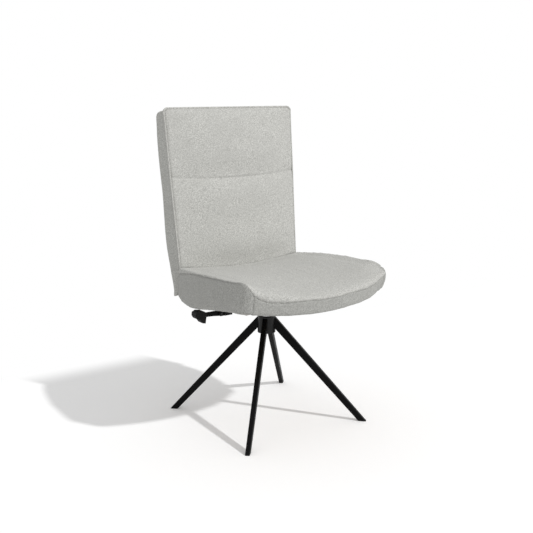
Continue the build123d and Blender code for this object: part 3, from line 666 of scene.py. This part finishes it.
class Finishes:
    """The chair's finishes by record slot."""

    cloth = MelangeCloth("grey_melange_cloth", (0.622, 0.62, 0.59), (0.388, 0.386, 0.364))
    side_cloth = MelangeCloth("grey_melange_side_cloth", (0.595, 0.595, 0.565), (0.378, 0.378, 0.356))
    # painted shade: a darker copy of the cloth for the cheeks and the front band, standing in for the shade on these
    # lower faces
    shaded_skirt_cloth = MelangeCloth("grey_melange_skirt_cloth", (0.485, 0.485, 0.46), (0.3, 0.3, 0.283))
    paint = PowderCoat("satin_black_powder_coat")
    hub_paint = PowderCoat("semi_gloss_black_powder_coat", gloss=0.25, roughness=0.36)
    plastic = MouldedPlastic("matt_black_plastic")
    steel = BareMetal("ground_steel", (0.55, 0.55, 0.56), (0.68, 0.68, 0.69), (1.0, 0.05, 1.0), 0.26)
    dark_steel = BareMetal("blackened_steel", (0.03, 0.03, 0.031), (0.05, 0.05, 0.052), (1.0, 0.05, 1.0), 0.4)
    zinc = BareMetal("zinc_plate", (0.58, 0.59, 0.6), (0.66, 0.67, 0.69), (1.0, 1.0, 0.4), 0.38)
    plywood = Plywood("raw_plywood")

    by_slot: dict[Slot, Finish] = {
        Slot.UPHOLSTERY: cloth,
        Slot.UPHOLSTERY_SIDE: side_cloth,
        Slot.BLACK_METAL: paint,
        Slot.BLACK_PLASTIC: plastic,
        Slot.STEEL: steel,
        Slot.ZINC: zinc,
        Slot.PLYWOOD: plywood,
    }


def dress(piece: Object, slot: Slot, finish: Finish | None = None) -> None:
    """Give an object the finish of one slot, or a variant of it, on its own material slot.

    Args:
        piece: A new piece or a CAD node.
        slot: The record's slot.
        finish: The variant, if it isn't the slot's first finish.
    """
    if not piece.material_slots:
        piece.data.materials.append(None)
    for holder in piece.material_slots:
        holder.link = "OBJECT"
        holder.material = (finish or Finishes.by_slot[slot]).material()


def hand_over(piece: Object, body: str, slot: Slot, node: str = "", finish: Finish | None = None) -> None:
    """Dress a finished piece, let it ride, hide the CAD node that it stands for and report it.

    Args:
        piece: The piece.
        body: The body that carries it.
        slot: Its slot.
        node: The CAD node that it stands for, if any.
        finish: The variant, if it isn't the slot's first finish.
    """
    dress(piece, slot, finish)
    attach(piece, body)
    if node:
        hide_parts(node)
    log.info("%s on %s: %d faces", piece.name, body, len(piece.data.polygons))


# ---- soft pads

WELD = 0.00002          # corners of a CAD mesh closer than this are merged
SEAM_REACH = 0.6        # voxels from a neighbour within which a pad is held
ROUND_REACH = 4.0       # voxels from a neighbour at which the smoothing is full
SEAM_SMOOTHING = 0.2    # share of the smoothing that a pad gets at its seams
WEIGHT_STEPS = 40
PUFF_FRAMES = 20
PUFF = {
    "quality": 5,
    "mass": 0.3,
    "tension_stiffness": 12.0,
    "compression_stiffness": 12.0,
    "shear_stiffness": 5.0,
    "bending_stiffness": 1.5,
    "vertex_group_mass": "held",
    "use_pressure": True,
}
WAVES = ((13.0, 1.0), (34.0, 0.45))     # waves per metre and the share of each


@dataclass
class SoftPad:
    """An upholstered pad that starts from its CAD solid, is puffed out by cloth and stands for the solid."""

    name: str
    node: str
    body: str
    slot: Slot
    held_by: tuple[str, ...]
    fill: float
    voxel: float = 0.004
    fairing: int = 20
    relax: int = 8
    outset: float = 0.0012
    inset: float = 0.003
    pressure: float = 4.0
    cap: float = 0.006
    held_width: float = 0.022
    wave: float = 0.0004
    subdivide: bool = True
    cloth: MelangeCloth | None = None

    def build(self, nodes: Nodes) -> Object:
        """Make the pad's mesh, up to its seams.

        Args:
            nodes: The CAD nodes by name.

        Returns:
            The new object, with no finish yet.
        """
        pad = bpy.data.objects.new(self.name, nodes[self.node].data.copy())
        bpy.context.scene.collection.objects.link(pad)
        open_mesh(pad)
        bpy.ops.mesh.remove_doubles(threshold=WELD)
        bpy.ops.object.mode_set(mode="OBJECT")
        pad.data.materials.clear()
        apply_modifier(pad, "REMESH", mode="VOXEL", voxel_size=self.voxel, use_smooth_shade=True)
        fair(pad, self.fairing)
        trees = search_trees(nodes[name] for name in self.held_by)
        gaps = distance_to(vertex_rows(pad), trees, 2 * self.held_width)
        seam = SEAM_REACH * self.voxel
        free = smooth_step(gaps, seam, self.held_width)
        rounding = smooth_step(gaps, seam, ROUND_REACH * self.voxel)
        self._group(pad, "soft", SEAM_SMOOTHING + (1.0 - SEAM_SMOOTHING) * rounding)
        apply_modifier(pad, "SMOOTH", factor=0.5, iterations=self.relax, vertex_group="soft")
        swell(pad, self.outset)
        if self.inset:
            swell(pad, -self.inset * free)
        if self.pressure:
            self._puff(pad, free)
        elif self.inset:
            swell(pad, self.inset * free)
        if self.subdivide:
            apply_modifier(pad, "SUBSURF", levels=1, render_levels=1)
        self._wave(pad)
        pad.vertex_groups.clear()
        shade_soft(pad)
        return pad

    def _group(self, pad: Object, name: str, weights: np.ndarray) -> None:
        """Write weights into a vertex group."""
        group = pad.vertex_groups.get(name) or pad.vertex_groups.new(name=name)
        steps = np.round(np.clip(weights, 0.0, 1.0) * WEIGHT_STEPS).astype(int)
        for step in np.unique(steps):
            group.add(np.nonzero(steps == step)[0].tolist(), float(step) / WEIGHT_STEPS, "REPLACE")

    def _puff(self, pad: Object, free: np.ndarray) -> None:
        """Puff the free cloth out under pressure, each point by the cap at most.

        Args:
            pad: The pad's object.
            free: 0 where a point is held, 1 where it is free.
        """
        before = vertex_rows(pad)
        self._group(pad, "held", 1.0 - free)
        take(pad)
        cloth = pad.modifiers.new("Cloth", "CLOTH")
        for key, value in PUFF.items():
            setattr(cloth.settings, key, value)
        cloth.settings.uniform_pressure_force = self.pressure
        cloth.settings.effector_weights.gravity = 0.0
        cloth.point_cache.frame_start = 1
        cloth.point_cache.frame_end = PUFF_FRAMES
        for frame in range(1, PUFF_FRAMES + 1):
            bpy.context.scene.frame_set(frame)
        bpy.ops.object.modifier_apply(modifier=cloth.name)
        bpy.context.scene.frame_set(1)
        moved = vertex_rows(pad) - before
        length = np.linalg.norm(moved, axis=1)
        share = np.minimum(1.0, self.cap / np.maximum(length, 1e-9))
        place_vertices(pad, before + moved * share[:, None])
        apply_modifier(pad, "SMOOTH", factor=0.5, iterations=3, vertex_group="soft")

    def _wave(self, pad: Object) -> None:
        """Move the cloth in and out a little over a few centimetres, as foam under cloth lies."""
        points = [Vector(place) for place in vertex_rows(pad)]
        lift = [sum(share * noise.noise(point * scale) for scale, share in WAVES) for point in points]
        swell(pad, self.wave * np.array(lift))

    def sink(self, pad: Object, line: Sequence[Vector], depth: float, width: float) -> None:
        """Pull the cloth in along a sewn line, by a third of the depth at one width from it."""
        swell(pad, -depth * np.exp(-((polyline_distance(vertex_rows(pad), line) / width) ** 2)))

    def mark_seam(self, pad: Object, gaps: np.ndarray, width: float) -> None:
        """Write how near each point is to a seam, for the painted shade and seam dirt that darken the cloth there,
        fading out over the width.
        """
        attribute = pad.data.attributes.new("seam", "FLOAT", "POINT")
        attribute.data.foreach_set("value", (1.0 - smooth_step(gaps, 0.0, width)).astype(np.float32))

    def finish(self, pad: Object) -> None:
        """Hand the pad over in place of its CAD solid."""
        hand_over(pad, self.body, self.slot, self.node, self.cloth)


@dataclass(frozen=True)
class Tug:
    """A soft pull on the upholstery round one place, the same for every pad that meets there."""

    centre: tuple[float, float, float]
    shift: tuple[float, float, float]
    reach: float

    def apply(self, pad: Object) -> None:
        """Pull a pad.

        Args:
            pad: The pad's object.
        """
        places = vertex_rows(pad)
        away = np.linalg.norm(places - np.array(self.centre), axis=1)
        share = np.exp(-((away / self.reach) ** 2))
        place_vertices(pad, places + share[:, None] * np.array(self.shift))


# ---- seat


@dataclass
class SeatUpholstery:
    """Seat cushion, the band round its front and the two cheeks at its sides."""

    seam_width: float = 0.007
    edge_drop: float = 0.0025
    edge_clear: tuple[float, float] = (0.0, 0.007)
    edge_sideways: tuple[float, float] = (0.205, 0.256)
    edge_rear: tuple[float, float] = (-0.01, 0.11)
    # the photograph's far front corner is rounder than the solids, and the near one's S stands higher
    tugs: tuple[Tug, ...] = (
        Tug((0.254, -0.222, 0.512), (-0.002, 0.002, -0.014), 0.042),
        Tug((0.262, -0.1, 0.5), (0.0, 0.0, -0.0055), 0.09),
        Tug((0.247, -0.24, 0.452), (0.006, -0.004, 0.0), 0.03),
        Tug((0.245, -0.25, 0.425), (-0.004, 0.004, 0.009), 0.04),
        Tug((-0.246, -0.226, 0.5), (0.0, -0.003, 0.009), 0.026),
    )

    def pads(self) -> list[SoftPad]:
        """The seat's pads.

        Returns:
            Their descriptions, the cushion first.
        """
        frame = ("seat_board", "front_rail", "side_rail_left", "side_rail_right", "rear_rail")
        sides = ("seat_cheek_left", "seat_cheek_right", "front_band")
        # the cheeks and the front band take the darker copy of the cloth, which is painted shade
        skirt = {"fill": 0.6, "outset": 0.0018, "inset": 0.001, "cloth": Finishes.shaded_skirt_cloth}
        cushion = SoftPad(
            "seat_pad", "seat_cushion", "seat", Slot.UPHOLSTERY, frame + sides + ("back_cushion", "back_shell"),
            fill=0.75, relax=12, outset=0.0018, cap=0.007, held_width=0.035)
        band = SoftPad(
            "front_band_pad", "front_band", "seat", Slot.UPHOLSTERY,
            ("seat_cushion", "seat_cheek_left", "seat_cheek_right", "front_rail"),
            relax=10, cap=0.0035, held_width=0.018, **skirt)
        cheeks = [
            SoftPad(
                f"seat_cheek_pad_{side}", f"seat_cheek_{side}", "seat", Slot.UPHOLSTERY_SIDE,
                ("seat_cushion", "front_band", "back_shell", f"side_rail_{side}"),
                cap=0.004, held_width=0.02, **skirt)
            for side in ("right", "left")
        ]
        return [cushion, band, *cheeks]

    def build(self, nodes: Nodes) -> None:
        """Build and dress the seat's pads.

        Args:
            nodes: The CAD nodes by name.
        """
        for pad in self.pads():
            made = pad.build(nodes)
            if pad.node == "seat_cushion":
                self.round_edge(made, nodes)
            # painted shade and seam dirt darken each pad where it meets the other pads
            neighbours = [name for name in pad.held_by if "cheek" in name or name in ("front_band", "seat_cushion")]
            trees = search_trees(nodes[name] for name in neighbours)
            gaps = distance_to(vertex_rows(made), trees, 2 * self.seam_width)
            pad.mark_seam(made, gaps, self.seam_width)
            for tug in self.tugs:
                tug.apply(made)
            pad.finish(made)

    def round_edge(self, pad: Object, nodes: Nodes) -> None:
        """Round the cushion over towards its sides, and leave it where it is at the seams.

        Args:
            pad: The seat cushion.
            nodes: The CAD nodes by name.
        """
        places = vertex_rows(pad)
        trees = search_trees(nodes[name] for name in ("seat_cheek_left", "seat_cheek_right", "front_band"))
        clear = smooth_step(distance_to(places, trees, 2 * self.edge_clear[1]), *self.edge_clear)
        sideways = smooth_step(np.abs(places[:, 0]), *self.edge_sideways)
        forward = 1.0 - smooth_step(places[:, 1], *self.edge_rear)
        places[:, 2] -= self.edge_drop * clear * sideways * forward
        place_vertices(pad, places)


# ---- back


@dataclass
class BackUpholstery:
    """Back cushion with its sewn channel, the welt round it and the upholstered shell behind it."""

    foot: Vector = Vector((0.0, 0.1744, 0.477))
    lean: float = 6.56
    height_run: float = 0.4922
    foot_half_width: float = 0.218
    top_half_width: float = 0.237
    width_shares: tuple[float, float] = (0.63, 0.37)
    foot_flare: float = 1.2
    trim_ends: tuple[float, float] = (0.0015, -0.0025)
    trim_zone: tuple[float, float] = (0.25, 0.49)
    side_zone: tuple[float, float] = (0.1, 0.2)
    foot_zone: tuple[float, float] = (-0.008, 0.025)
    top_zone: tuple[float, float] = (0.06, 0.005)
    corner_radius: float = 0.014
    channel_run: float = 0.28
    channel_sag: float = 0.012
    channel_stand: float = 0.0175
    channel_depth: float = 0.0034
    channel_width: float = 0.0036
    channel_overrun: float = 0.002
    channel_steps: int = 16
    pull_share: float = 0.4
    pull_width: float = 0.018
    foot_press: float = 0.0045
    welt_radius: float = 0.003
    welt_stand: float = 0.002
    welt_depth: float = 0.0035
    welt_foot: float = 0.006
    side_steps: int = 39
    corner_steps: int = 8
    top_drop: float = 0.0055
    shell_rise: float = 0.003
    heel: tuple[Tug, ...] = tuple(
        Tug((side * 0.236, 0.19, 0.412), (0.0, -0.014, -0.011), 0.034) for side in (-1, 1))

    def point(self, across: float, run: float, depth: float) -> Vector:
        """Place of a point on the back.

        Args:
            across: Sideways from the middle.
            run: Up the lean from the foot.
            depth: Behind the front seam's plane.

        Returns:
            The point in the chair's frame.
        """
        turn = math.radians(self.lean)
        return self.foot + Vector((
            across,
            depth * math.cos(turn) + run * math.sin(turn),
            run * math.cos(turn) - depth * math.sin(turn),
        ))

    def half_width(self, run: float) -> float:
        """Half the back's width at its front seam.

        Args:
            run: How far up the lean.

        Returns:
            The half width.
        """
        share = run / self.height_run
        straight, curved = self.width_shares
        widening = (self.top_half_width - self.foot_half_width) * (straight * share + curved * share**2)
        flare = self.foot_flare * min(run, 0.0) ** 2
        return self.foot_half_width + widening + flare + float(self.trim(np.array(run)))

    def trim(self, run: np.ndarray) -> np.ndarray:
        """Extra half width of the upholstery over the CAD form, a run up the lean."""
        foot, top = self.trim_ends
        return foot + (top - foot) * smooth_step(run, *self.trim_zone)

    def channel(self) -> list[Vector]:
        """The sewn channel's line, from side to side."""
        line = []
        for step in range(-self.channel_steps, self.channel_steps + 1):
            share = step / self.channel_steps
            hollow = 1.0 - share * share
            run = self.channel_run - self.channel_sag * hollow
            across = share * (self.half_width(run) + self.channel_overrun)
            line.append(self.point(across, run, -self.channel_stand * hollow))
        return line

    def edge(self) -> list[Vector]:
        """The front seam's line.

        Returns:
            Its points, from the foot on one side over the top to the other foot.
        """
        inner = self.corner_radius
        top_run = self.height_run + 0.5 * self.welt_stand - self.top_drop
        half = []
        for step in range(self.side_steps + 1):
            run = -self.welt_foot + (top_run - inner + self.welt_foot) * step / self.side_steps
            half.append((self.half_width(run) + self.welt_stand, run))
        corner_x = self.half_width(self.height_run) + self.welt_stand - inner
        for step in range(1, self.corner_steps + 1):
            turn = math.radians(90.0 * step / self.corner_steps)
            half.append((corner_x + inner * math.cos(turn), top_run - inner + inner * math.sin(turn)))
        for share in (0.75, 0.5, 0.25):
            half.append((corner_x * share, top_run))
        right = [self.point(-across, run, self.welt_depth) for across, run in half]
        left = [self.point(across, run, self.welt_depth) for across, run in reversed(half)]
        return right + [self.point(0.0, top_run, self.welt_depth)] + left

    def shape(self, pad: Object, top_shift: float, foot_shift: float) -> None:
        """Stretch a pad along the lean at its ends and trim its width, as the photograph shows it.

        Args:
            pad: The pad's object.
            top_shift: How far its top edge moves up the lean.
            foot_shift: How far its lower edge moves down the lean.
        """
        turn = math.radians(self.lean)
        up = np.array((0.0, math.sin(turn), math.cos(turn)))
        places = vertex_rows(pad)
        run = (places - np.array(self.foot)) @ up
        along = top_shift * smooth_step(run, *(self.height_run - below for below in self.top_zone))
        along -= foot_shift * (1.0 - smooth_step(run, *self.foot_zone))
        wider = self.trim(run) * smooth_step(np.abs(places[:, 0]), *self.side_zone)
        places[:, 0] += np.sign(places[:, 0]) * wider
        place_vertices(pad, places + along[:, None] * up)

    def build(self, nodes: Nodes) -> None:
        """Build and dress the back's pads and its welt.

        Args:
            nodes: The CAD nodes by name.
        """
        cushion = SoftPad(
            "back_pad", "back_cushion", "back", Slot.UPHOLSTERY, ("back_shell", "back_board", "seat_cushion"),
            fill=0.75, voxel=0.0045, cap=0.008, held_width=0.03)
        made = cushion.build(nodes)
        self.shape(made, -self.top_drop, self.foot_press)
        channel = self.channel()
        cushion.sink(made, channel, self.pull_share * self.channel_depth, self.pull_width)
        cushion.sink(made, channel, self.channel_depth, self.channel_width)
        # painted shade and seam dirt darken the cloth along the sewn channel
        cushion.mark_seam(made, polyline_distance(vertex_rows(made), channel), 0.005)
        cushion.finish(made)

        shell = SoftPad(
            "back_shell_pad", "back_shell", "back", Slot.UPHOLSTERY_SIDE, ("seat_cushion",),
            fill=0.4, voxel=0.003, relax=2, inset=0.0, pressure=0.0, subdivide=False)
        made = shell.build(nodes)
        # painted shade and seam dirt darken the shell where it meets the back cushion
        gaps = distance_to(vertex_rows(made), search_trees([nodes["back_cushion"]]), 0.02)
        shell.mark_seam(made, gaps, 0.006)
        self.shape(made, self.shell_rise, 0.0)
        for tug in self.heel:
            tug.apply(made)
        shell.finish(made)
        self.build_welt()

    def build_welt(self) -> None:
        """Sew the welt round the front of the back."""
        drop_selection()
        bpy.ops.curve.primitive_nurbs_path_add()
        welt = bpy.context.object
        welt.name = "back_welt"
        curve = welt.data
        curve.splines.clear()
        line = self.edge()
        spline = curve.splines.new("NURBS")
        spline.points.add(len(line) - 1)
        for point, place in zip(spline.points, line):
            point.co = (*place, 1.0)
        spline.order_u = 3
        spline.use_endpoint_u = True
        curve.bevel_depth = self.welt_radius
        curve.bevel_resolution = 3
        curve.resolution_u = 4
        curve.use_fill_caps = True
        welt.matrix_world = Matrix.Identity(4)
        take(welt)
        bpy.ops.object.convert(target="MESH")
        settle(welt)
        shade_soft(welt)
        hand_over(welt, "back", Slot.UPHOLSTERY)


# ---- base


@dataclass
class Legs:
    """Four splayed, tapered square tubes from the hub to the floor."""

    axis_y: float = 0.0304
    foot_circle: float = 0.305
    apex_z: float = 0.336
    top_width: float = 0.016
    top_depth: float = 0.0255
    foot_width: float = 0.014
    foot_depth: float = 0.018
    corner: float = 0.0022
    corner_steps: int = 4
    glide_height: float = 0.003
    hub_reach: float = 0.0255
    overrun: float = 0.03
    turns: tuple[tuple[float, str], ...] = (
        (225.0, "front_right"), (315.0, "front_left"), (45.0, "rear_left"), (135.0, "rear_right"))

    def blank(self) -> Object:
        """One leg that points along +X from the swivel axis, cut at the floor and at the hub.

        Returns:
            The leg's object, with the swivel axis through its origin.
        """
        drop_selection()
        bpy.ops.mesh.primitive_cube_add(size=1.0)
        leg = bpy.context.object
        run = math.hypot(self.foot_circle, self.apex_z)
        lean = math.atan2(self.apex_z, self.foot_circle)
        outward = Vector((1.0, 0.0, 0.0))
        along = Vector((-math.cos(lean), 0.0, math.sin(lean)))
        square = Vector((math.sin(lean), 0.0, math.cos(lean)))
        for vertex in leg.data.vertices:
            place = run if vertex.co.z > 0 else -self.overrun
            share = place / run
            width = self.foot_width + (self.top_width - self.foot_width) * share
            depth = self.foot_depth + (self.top_depth - self.foot_depth) * share
            centre = outward * self.foot_circle + along * place
            vertex.co = (centre + square * (depth * math.copysign(0.5, vertex.co.x))
                         + Vector((0.0, width * math.copysign(0.5, vertex.co.y), 0.0)))
        open_mesh(leg)
        bpy.ops.mesh.normals_make_consistent(inside=False)
        bpy.ops.object.mode_set(mode="OBJECT")
        apply_modifier(leg, "BEVEL", width=self.corner, segments=self.corner_steps, limit_method="ANGLE",
                       angle_limit=math.radians(40.0))
        bpy.ops.object.mode_set(mode="EDIT")
        cuts = (((0.0, 0.0, self.glide_height), (0.0, 0.0, -1.0)), ((self.hub_reach, 0.0, 0.0), (-1.0, 0.0, 0.0)))
        for place, outwards in cuts:
            bpy.ops.mesh.select_all(action="SELECT")
            bpy.ops.mesh.bisect(plane_co=place, plane_no=outwards, use_fill=True, clear_outer=True)
        bpy.ops.object.mode_set(mode="OBJECT")
        return leg

    def build(self) -> None:
        """Copy the leg to its four places and dress it."""
        blank = self.blank()
        to_axis = Matrix.Translation((0.0, self.axis_y, 0.0))
        for turn, name in self.turns:
            leg = bpy.data.objects.new(f"leg_tube_{name}", blank.data.copy())
            bpy.context.scene.collection.objects.link(leg)
            leg.data.transform(to_axis @ Matrix.Rotation(math.radians(turn), 4, "Z"))
            shade_soft(leg, 30.0)
            hand_over(leg, "base", Slot.BLACK_METAL, f"leg_{name}")
        bpy.data.objects.remove(blank)


@dataclass(frozen=True)
class HardParts:
    """CAD nodes that keep their own shape, by the slot that each takes."""

    black_metal: tuple[str, ...] = (
        "hub", "swivel_neck", "swivel_plate", "hinge_bracket_left", "hinge_bracket_right", "hinge_arm_left",
        "hinge_arm_right", "torque_bar", "spring_lug", "spring_bracket", "gas_spring_cylinder", "release_lever",
        "rod_clevis")
    black_plastic: tuple[str, ...] = (
        "foot_glides", "hub_cap", "upper_bush", "lower_bush", "release_head", "lever_grip")
    steel: tuple[str, ...] = (
        "spindle", "retaining_washer", "retaining_clip", "gas_spring_rod", "hinge_pins", "lever_pin", "rod_pin")
    zinc: tuple[str, ...] = ("plate_bolts", "tee_nuts", "bracket_screws", "arm_bolts")
    plywood: tuple[str, ...] = (
        "seat_board", "front_rail", "side_rail_left", "side_rail_right", "rear_rail", "back_board")

    def build(self, nodes: Nodes) -> None:
        """Dress the nodes.

        Args:
            nodes: The CAD nodes by name.
        """
        variants = dict.fromkeys(("lever_pin", "rod_pin", "hinge_pins"), Finishes.dark_steel)
        variants["hub"] = Finishes.hub_paint
        for slot in (Slot.BLACK_METAL, Slot.BLACK_PLASTIC, Slot.STEEL, Slot.ZINC, Slot.PLYWOOD):
            for name in getattr(self, slot.value):
                dress(nodes[name], slot, variants.get(name))
                log.info("%s keeps its CAD shape, in %s", name, slot.value)


# ---- studio


@dataclass
class Studio:
    """Pale floor, plain light and the camera at the photograph's place."""

    camera_place: tuple[float, float, float] = (-1.4397, -2.0259, 1.0162)
    camera_aim: tuple[float, float, float] = (0.0, 0.0304, 0.4829)
    lens: float = 56.257
    sun_from: tuple[float, float, float] = (0.344, -0.695, 0.632)
    sun_strength: float = 1.8
    sun_angle: float = 2.0
    sky: float = 0.6
    floor_side: float = 60.0
    floor_bounce: float = 0.8
    floor_shown: float = 0.98
    floor_lift: float = 0.1
    # floor Y over which a white glow takes over, as painted light over the back's cast shadow
    shadow_glow_ramp: tuple[float, float] = (0.68, 0.84)

    def show(self, sheet: Sheet, lighting: Node, shown: Node) -> None:
        """Let one shader light the scene, and camera, glossy and transmission rays see another.

        Args:
            sheet: The sheet of the world or of the floor's material.
            lighting: The shader that lights the scene.
            shown: The shader that is seen.
        """
        rays = sheet.add("ShaderNodeLightPath").outputs
        seen = sheet.math("MAXIMUM", rays["Is Camera Ray"], rays["Is Glossy Ray"])
        seen = sheet.math("MAXIMUM", seen, rays["Is Transmission Ray"])
        in_world = isinstance(shown, bpy.types.ShaderNodeBackground)
        output = sheet.add("ShaderNodeOutputWorld" if in_world else "ShaderNodeOutputMaterial")
        sheet.link(sheet.mixed(seen, lighting, shown).outputs[0], output.inputs["Surface"])

    def build_world(self) -> None:
        """Even white light from all round, and a white background."""
        world = bpy.data.worlds.new("studio")
        bpy.context.scene.world = world
        sheet = blank_sheet(world)
        shown, light = sheet.add("ShaderNodeBackground"), sheet.add("ShaderNodeBackground")
        for background, strength in ((shown, 1.0), (light, self.sky)):
            sheet.feed(background, {"Color": (1.0, 1.0, 1.0, 1.0), "Strength": strength})
        self.show(sheet, light, shown)

    def build_floor(self) -> None:
        """White floor that keeps the chair's shadow near the seat, with painted light over the shadow further behind.
        """
        drop_selection()
        bpy.ops.mesh.primitive_plane_add(size=self.floor_side)
        floor = bpy.context.object
        floor.name = "studio_floor"
        settle(floor)
        material = bpy.data.materials.new("studio_floor_white")
        sheet = blank_sheet(material)
        bounce, matt = sheet.add("ShaderNodeBsdfDiffuse"), sheet.add("ShaderNodeBsdfDiffuse")
        for diffuse, grey in ((bounce, self.floor_bounce), (matt, self.floor_shown)):
            sheet.feed(diffuse, {"Color": (grey, grey, grey, 1.0)})
        lift = sheet.add("ShaderNodeEmission")
        sheet.feed(lift, {"Strength": self.floor_lift})
        bright = sheet.add("ShaderNodeAddShader")
        sheet.link(matt.outputs[0], bright.inputs[0])
        sheet.link(lift.outputs[0], bright.inputs[1])
        # behind the seat's shadow the floor is plain white: a white glow there is painted light over the back's cast
        # shadow
        parts = sheet.add("ShaderNodeSeparateXYZ")
        sheet.link(sheet.add("ShaderNodeTexCoord").outputs["Object"], parts.inputs[0])
        behind = sheet.spread(parts.outputs["Y"], *self.shadow_glow_ramp)
        self.show(sheet, bounce, sheet.mixed(behind, bright, sheet.add("ShaderNodeEmission")))
        floor.data.materials.append(material)

    def build_sun(self) -> None:
        """One soft lamp, high and to the sitter's front left."""
        drop_selection()
        bpy.ops.object.light_add(type="SUN", location=(2.0, -4.0, 4.0))
        sun = bpy.context.object
        sun.rotation_euler = Vector(self.sun_from).to_track_quat("Z", "Y").to_euler()
        sun.data.energy = self.sun_strength
        sun.data.angle = math.radians(self.sun_angle)

    def build_camera(self) -> None:
        """Camera at the photograph's place."""
        drop_selection()
        bpy.ops.object.camera_add(location=self.camera_place)
        camera = bpy.context.object
        aim = Vector(self.camera_aim) - Vector(self.camera_place)
        camera.rotation_euler = aim.to_track_quat("-Z", "Y").to_euler()
        camera.data.lens = self.lens
        camera.data.sensor_width = 36.0
        camera.data.clip_end = 200.0
        bpy.context.scene.camera = camera

    def build(self) -> None:
        """Set up the whole studio."""
        self.build_camera()
        self.build_world()
        self.build_floor()
        self.build_sun()
        bpy.context.scene.view_settings.view_transform = "Standard"


def main() -> None:
    """Build the chair's looks in order."""
    logging.basicConfig(level=logging.INFO, format="%(name)s: %(message)s", stream=sys.stdout)
    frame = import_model()
    nodes = frame["nodes"]
    Studio().build()
    HardParts().build(nodes)
    Legs().build()
    SeatUpholstery().build(nodes)
    BackUpholstery().build(nodes)
    drop_selection()


if __name__ == "__main__":
    main()
